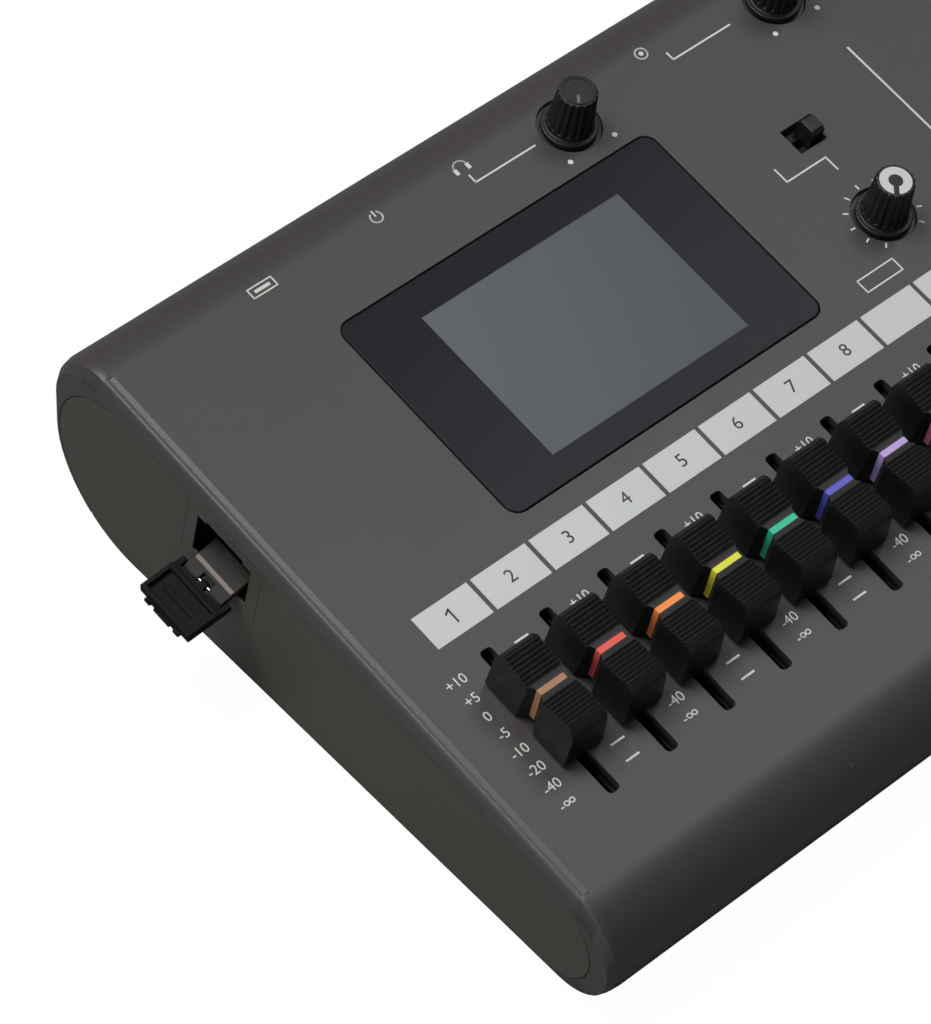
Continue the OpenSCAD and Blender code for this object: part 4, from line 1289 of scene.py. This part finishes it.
class Printing(Assembly):
    """Printing on the panel: tiles, scales, knob marks, lines and signs, and the front's lamp."""

    sizes = PrintSizes()
    signs = SignSizes()

    def build(self) -> None:
        """Lays all the printing."""
        self._tiles()
        self._scales()
        self._knob_marks()
        self._lines()
        self._signs()
        self._front_lamp()

    def _tiles(self) -> None:
        """Light channel tiles with their numbers."""
        s, row = self.sizes, FaderRow.sizes
        digits = []
        for i in range(row.count):
            u = s.tile_u + s.tile_w / 2 + i * row.pitch
            v = s.tile_v + s.tile_d / 2
            tile = Bench.block(f"channel_tile_{i + 1}", (s.tile_w, s.tile_d, s.ink), self.panel.at(u, v))
            self.dress(tile, TILE_GREY)
            place = self.panel.at(u, v, s.ink)
            if i == 0:
                digits.append(Bench.stroke("digit", FIGURE_ONE.points, FIGURE_ONE.width, s.ink, place))
            elif i < s.numbered:
                digits.append(Bench.word("digit", str(i + 1), s.digit, s.ink, place))
        self.dress(Bench.join("tile_numbers", digits), TILE_INK)

    def _scales(self) -> None:
        """Level marks beside the faders: figures and dashes take turns between them."""
        s, row = self.sizes, FaderRow.sizes

        def figures(levels: Sequence[tuple[str, float]], u: float) -> list[Piece]:
            """Level figures in a column."""
            return [Bench.word("mark", body, s.scale_digit, s.ink, self.panel.at(u, v)) for body, v in levels]

        marks = figures(ALL_LEVELS, s.scale_u)
        for k in range(row.count):
            u = s.mark_u + k * row.pitch
            if k % 2 == 0:
                size = (s.mark_l, s.mark_w, s.ink)
                marks += [Bench.block("mark", size, self.panel.at(u, v)) for v in DASH_LEVELS]
            else:
                marks += figures(MAIN_LEVELS, u)
        self.dress(Bench.join("fader_scales", marks), PRINT_WHITE)

    def _knob_marks(self) -> None:
        """End dots of the level knobs and the balance knob's ticks."""
        s, c = self.sizes, Controls.sizes
        dots = []
        for u, v in (c.phones, c.output, c.gain_a, c.gain_b):
            for side in (-1.0, 1.0):
                place = self.panel.at(u + side * s.dot_u, v - s.dot_v)
                dots.append(Bench.disc("dot", s.dot_r, s.ink, place, sides=20))
        for k in range(-s.ticks, s.ticks + 1):
            place = self.panel.at(*c.balance, 0.0, k * s.tick_turn)
            dots.append(Bench.block("tick", (s.tick_w, s.tick_l, s.ink), place, at=(0.0, s.tick_at, 0.0)))
        self.dress(Bench.join("knob_marks", dots), PRINT_WHITE)

    def _lines(self) -> None:
        """Brackets, a frame and the divider."""
        place = self.panel.at(0.0, 0.0)
        lines = [Bench.stroke("line", k.points, k.width, self.sizes.ink, place, k.closed) for k in PANEL_LINES]
        self.dress(Bench.join("panel_lines", lines), PRINT_WHITE)

    def _arc(self, u: float, v: float, radius: float, start: float, end: float) -> Piece:
        """A printed arc, angles in degrees anticlockwise from the right.

        Args:
            u: its centre's distance from the left side.
            v: its centre's distance to the back.
            radius: its radius.
            start: angle at its start.
            end: angle at its end.

        Returns:
            The arc.
        """
        steps = self.signs.arc_steps
        turns = [math.radians(start + (end - start) * i / steps) for i in range(steps + 1)]
        points = [(u + radius * math.cos(t), v + radius * math.sin(t)) for t in turns]
        return Bench.stroke("arc", points, self.signs.line, self.sizes.ink, self.panel.at(0.0, 0.0))

    def _signs(self) -> None:
        """Plain signs above the sockets: data port, power, headphones and output."""
        s, ink, at = self.signs, self.sizes.ink, self.panel.at
        port = [(s.port_u + a * s.port_half_w, s.v + b * s.port_half_d)
                for a, b in ((-1, -1), (1, -1), (1, 1), (-1, 1))]
        parts = [
            Bench.stroke("sign", port, s.line, ink, at(0.0, 0.0), True),
            Bench.block("sign", (s.tongue_w, s.tongue_d, ink), at(s.port_u, s.v)),
            self._arc(s.power_u, s.v, s.power_r, s.power_start, s.power_end),
            Bench.block("sign", (s.line, s.stem_l, ink), at(s.power_u, s.v + s.stem_v)),
            self._arc(s.phones_u, s.v + s.phones_v, s.phones_r, 0.0, 180.0),
            self._arc(s.output_u, s.v, s.output_r, 0.0, 360.0),
            Bench.disc("sign", s.centre_r, ink, at(s.output_u, s.v), sides=20),
        ]
        for side in (-1.0, 1.0):
            spot = at(s.phones_u + side * s.pad_u, s.v + s.pad_v)
            parts.append(Bench.block("sign", (s.pad_w, s.pad_d, ink), spot))
        self.dress(Bench.join("socket_signs", parts), PRINT_WHITE)

    def _front_lamp(self) -> None:
        """Small lamp lens in the rounded front."""
        s = self.sizes
        place = self.panel.at(*s.lamp_at) @ Matrix.Rotation(math.radians(s.lamp_turn), 4, "X")
        lens = Bench.disc("front_lamp", s.lamp_r, s.lamp_h, place, round_by=s.lamp_edge,
                          at=(0.0, 0.0, -s.lamp_sunk), sides=24)
        self.dress(Bench.smooth(lens), LENS_SMOKE)


@dataclass(frozen=True)
class Softbox:
    """A square lamp: its place and size in metres, and its power in watts."""

    name: str
    place: Triple
    size: float
    watts: float


SOFTBOXES = (
    Softbox("key_softbox", (-0.6, 0.8, 2.2), 1.1, 44.5),
    Softbox("left_softbox", (-1.6, -0.1, 0.5), 0.9, 6.5),
    Softbox("top_softbox", (0.97, 0.12, 1.95), 0.8, 7.6),
)


@dataclass
class Studio:
    """Camera, lamps, floor and white surround."""

    eye: Triple = (-0.44696, -0.36147, 0.67855)
    right: Triple = (0.747788, -0.662278, 0.046916)
    up: Triple = (0.495594, 0.603811, 0.624339)
    back: Triple = (-0.441815, -0.443622, 0.779743)
    focal_px: float = 4577.0
    frame_px: float = 1024.0
    sensor: float = 36.0
    world_light: float = 0.13
    floor_size: float = 6.0
    floor_z: float = -0.0002
    floor_colour: tuple[float, ...] = (0.2, 0.2, 0.2, 1.0)
    floor_rough: float = 0.9
    floor_glow: float = 1.06
    floor_share: float = 0.93

    def build(self) -> None:
        """Sets up the studio."""
        self._camera()
        self._world()
        self._floor()
        for box in SOFTBOXES:
            self._lamp(box)
        bpy.context.scene.view_settings.view_transform = "Standard"

    def _camera(self) -> None:
        """Camera at the photograph's place."""
        data = bpy.data.cameras.new("view")
        data.sensor_fit = "VERTICAL"
        data.sensor_height = self.sensor
        data.lens = self.focal_px / self.frame_px * data.sensor_height
        cam = bpy.data.objects.new("view", data)
        bpy.context.scene.collection.objects.link(cam)
        turn = Matrix((self.right, self.up, self.back)).transposed().to_4x4()
        cam.matrix_world = Matrix.Translation(self.eye) @ turn
        bpy.context.scene.camera = cam

    def _world(self) -> None:
        """Even light for the object, and white for the camera."""
        world = bpy.data.worlds.new("surround")
        bpy.context.scene.world = world
        world.use_nodes = True
        t, nodes = Tree(world.node_tree), world.node_tree.nodes
        light = t.fill(nodes["Background"], {"Color": WHITE, "Strength": self.world_light})
        white = t.add("Background", {"Color": WHITE})
        path = t.add("LightPath")
        mix = t.add("MixShader")
        t.join(path, "Is Camera Ray", mix, "Fac")
        t.join(light, "Background", mix, 1)
        t.join(white, "Background", mix, 2)
        t.join(mix, "Shader", nodes["World Output"], "Surface")

    def _floor(self) -> None:
        """Grey floor that the camera sees as white, with a soft shadow, and clear from below."""
        Bench.clear()
        bpy.ops.mesh.primitive_plane_add(size=self.floor_size, location=(0.0, 0.0, self.floor_z))
        floor = bpy.context.object
        floor.name = "floor"
        mat, t, shader = Tree.blank("floor_white")
        t.fill(shader, {"Base Color": self.floor_colour, "Roughness": self.floor_rough})
        glow = t.add("Emission", {"Strength": self.floor_glow})
        path = t.add("LightPath")
        share = t.add("Math", {1: self.floor_share}, operation="MULTIPLY")
        mix = t.add("MixShader")
        side = t.add("NewGeometry")
        clear = t.add("BsdfTransparent")
        sheet = t.add("MixShader")
        t.join(path, "Is Camera Ray", share, 0)
        t.join(share, "Value", mix, "Fac")
        t.join(shader, "BSDF", mix, 1)
        t.join(glow, "Emission", mix, 2)
        t.join(side, "Backfacing", sheet, "Fac")
        t.join(mix, "Shader", sheet, 1)
        t.join(clear, "BSDF", sheet, 2)
        t.join(sheet, "Shader", mat.node_tree.nodes["Material Output"], "Surface")
        floor.data.materials.append(mat)

    @staticmethod
    def _lamp(box: Softbox) -> None:
        """Hangs a softbox so that it points at the object.

        Args:
            box: the softbox.
        """
        data = bpy.data.lights.new(box.name, "AREA")
        data.size = box.size
        data.energy = box.watts
        lamp = bpy.data.objects.new(box.name, data)
        bpy.context.scene.collection.objects.link(lamp)
        lamp.location = box.place
        lamp.rotation_euler = Vector(box.place).to_track_quat("Z", "Y").to_euler()


def main() -> None:
    """Builds the sub-assemblies in order."""
    logging.basicConfig(level=logging.INFO, format="%(message)s")
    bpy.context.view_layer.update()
    panel = Panel()
    groups = NodeGroups()
    for kind in (Case, Screen, FaderRow, Controls, CardBay, Sockets, Printing):
        LOG.info("building %s", kind.__name__)
        kind(panel, groups).build()
    Studio().build()
    Bench.clear()


if __name__ == "__main__":
    main()
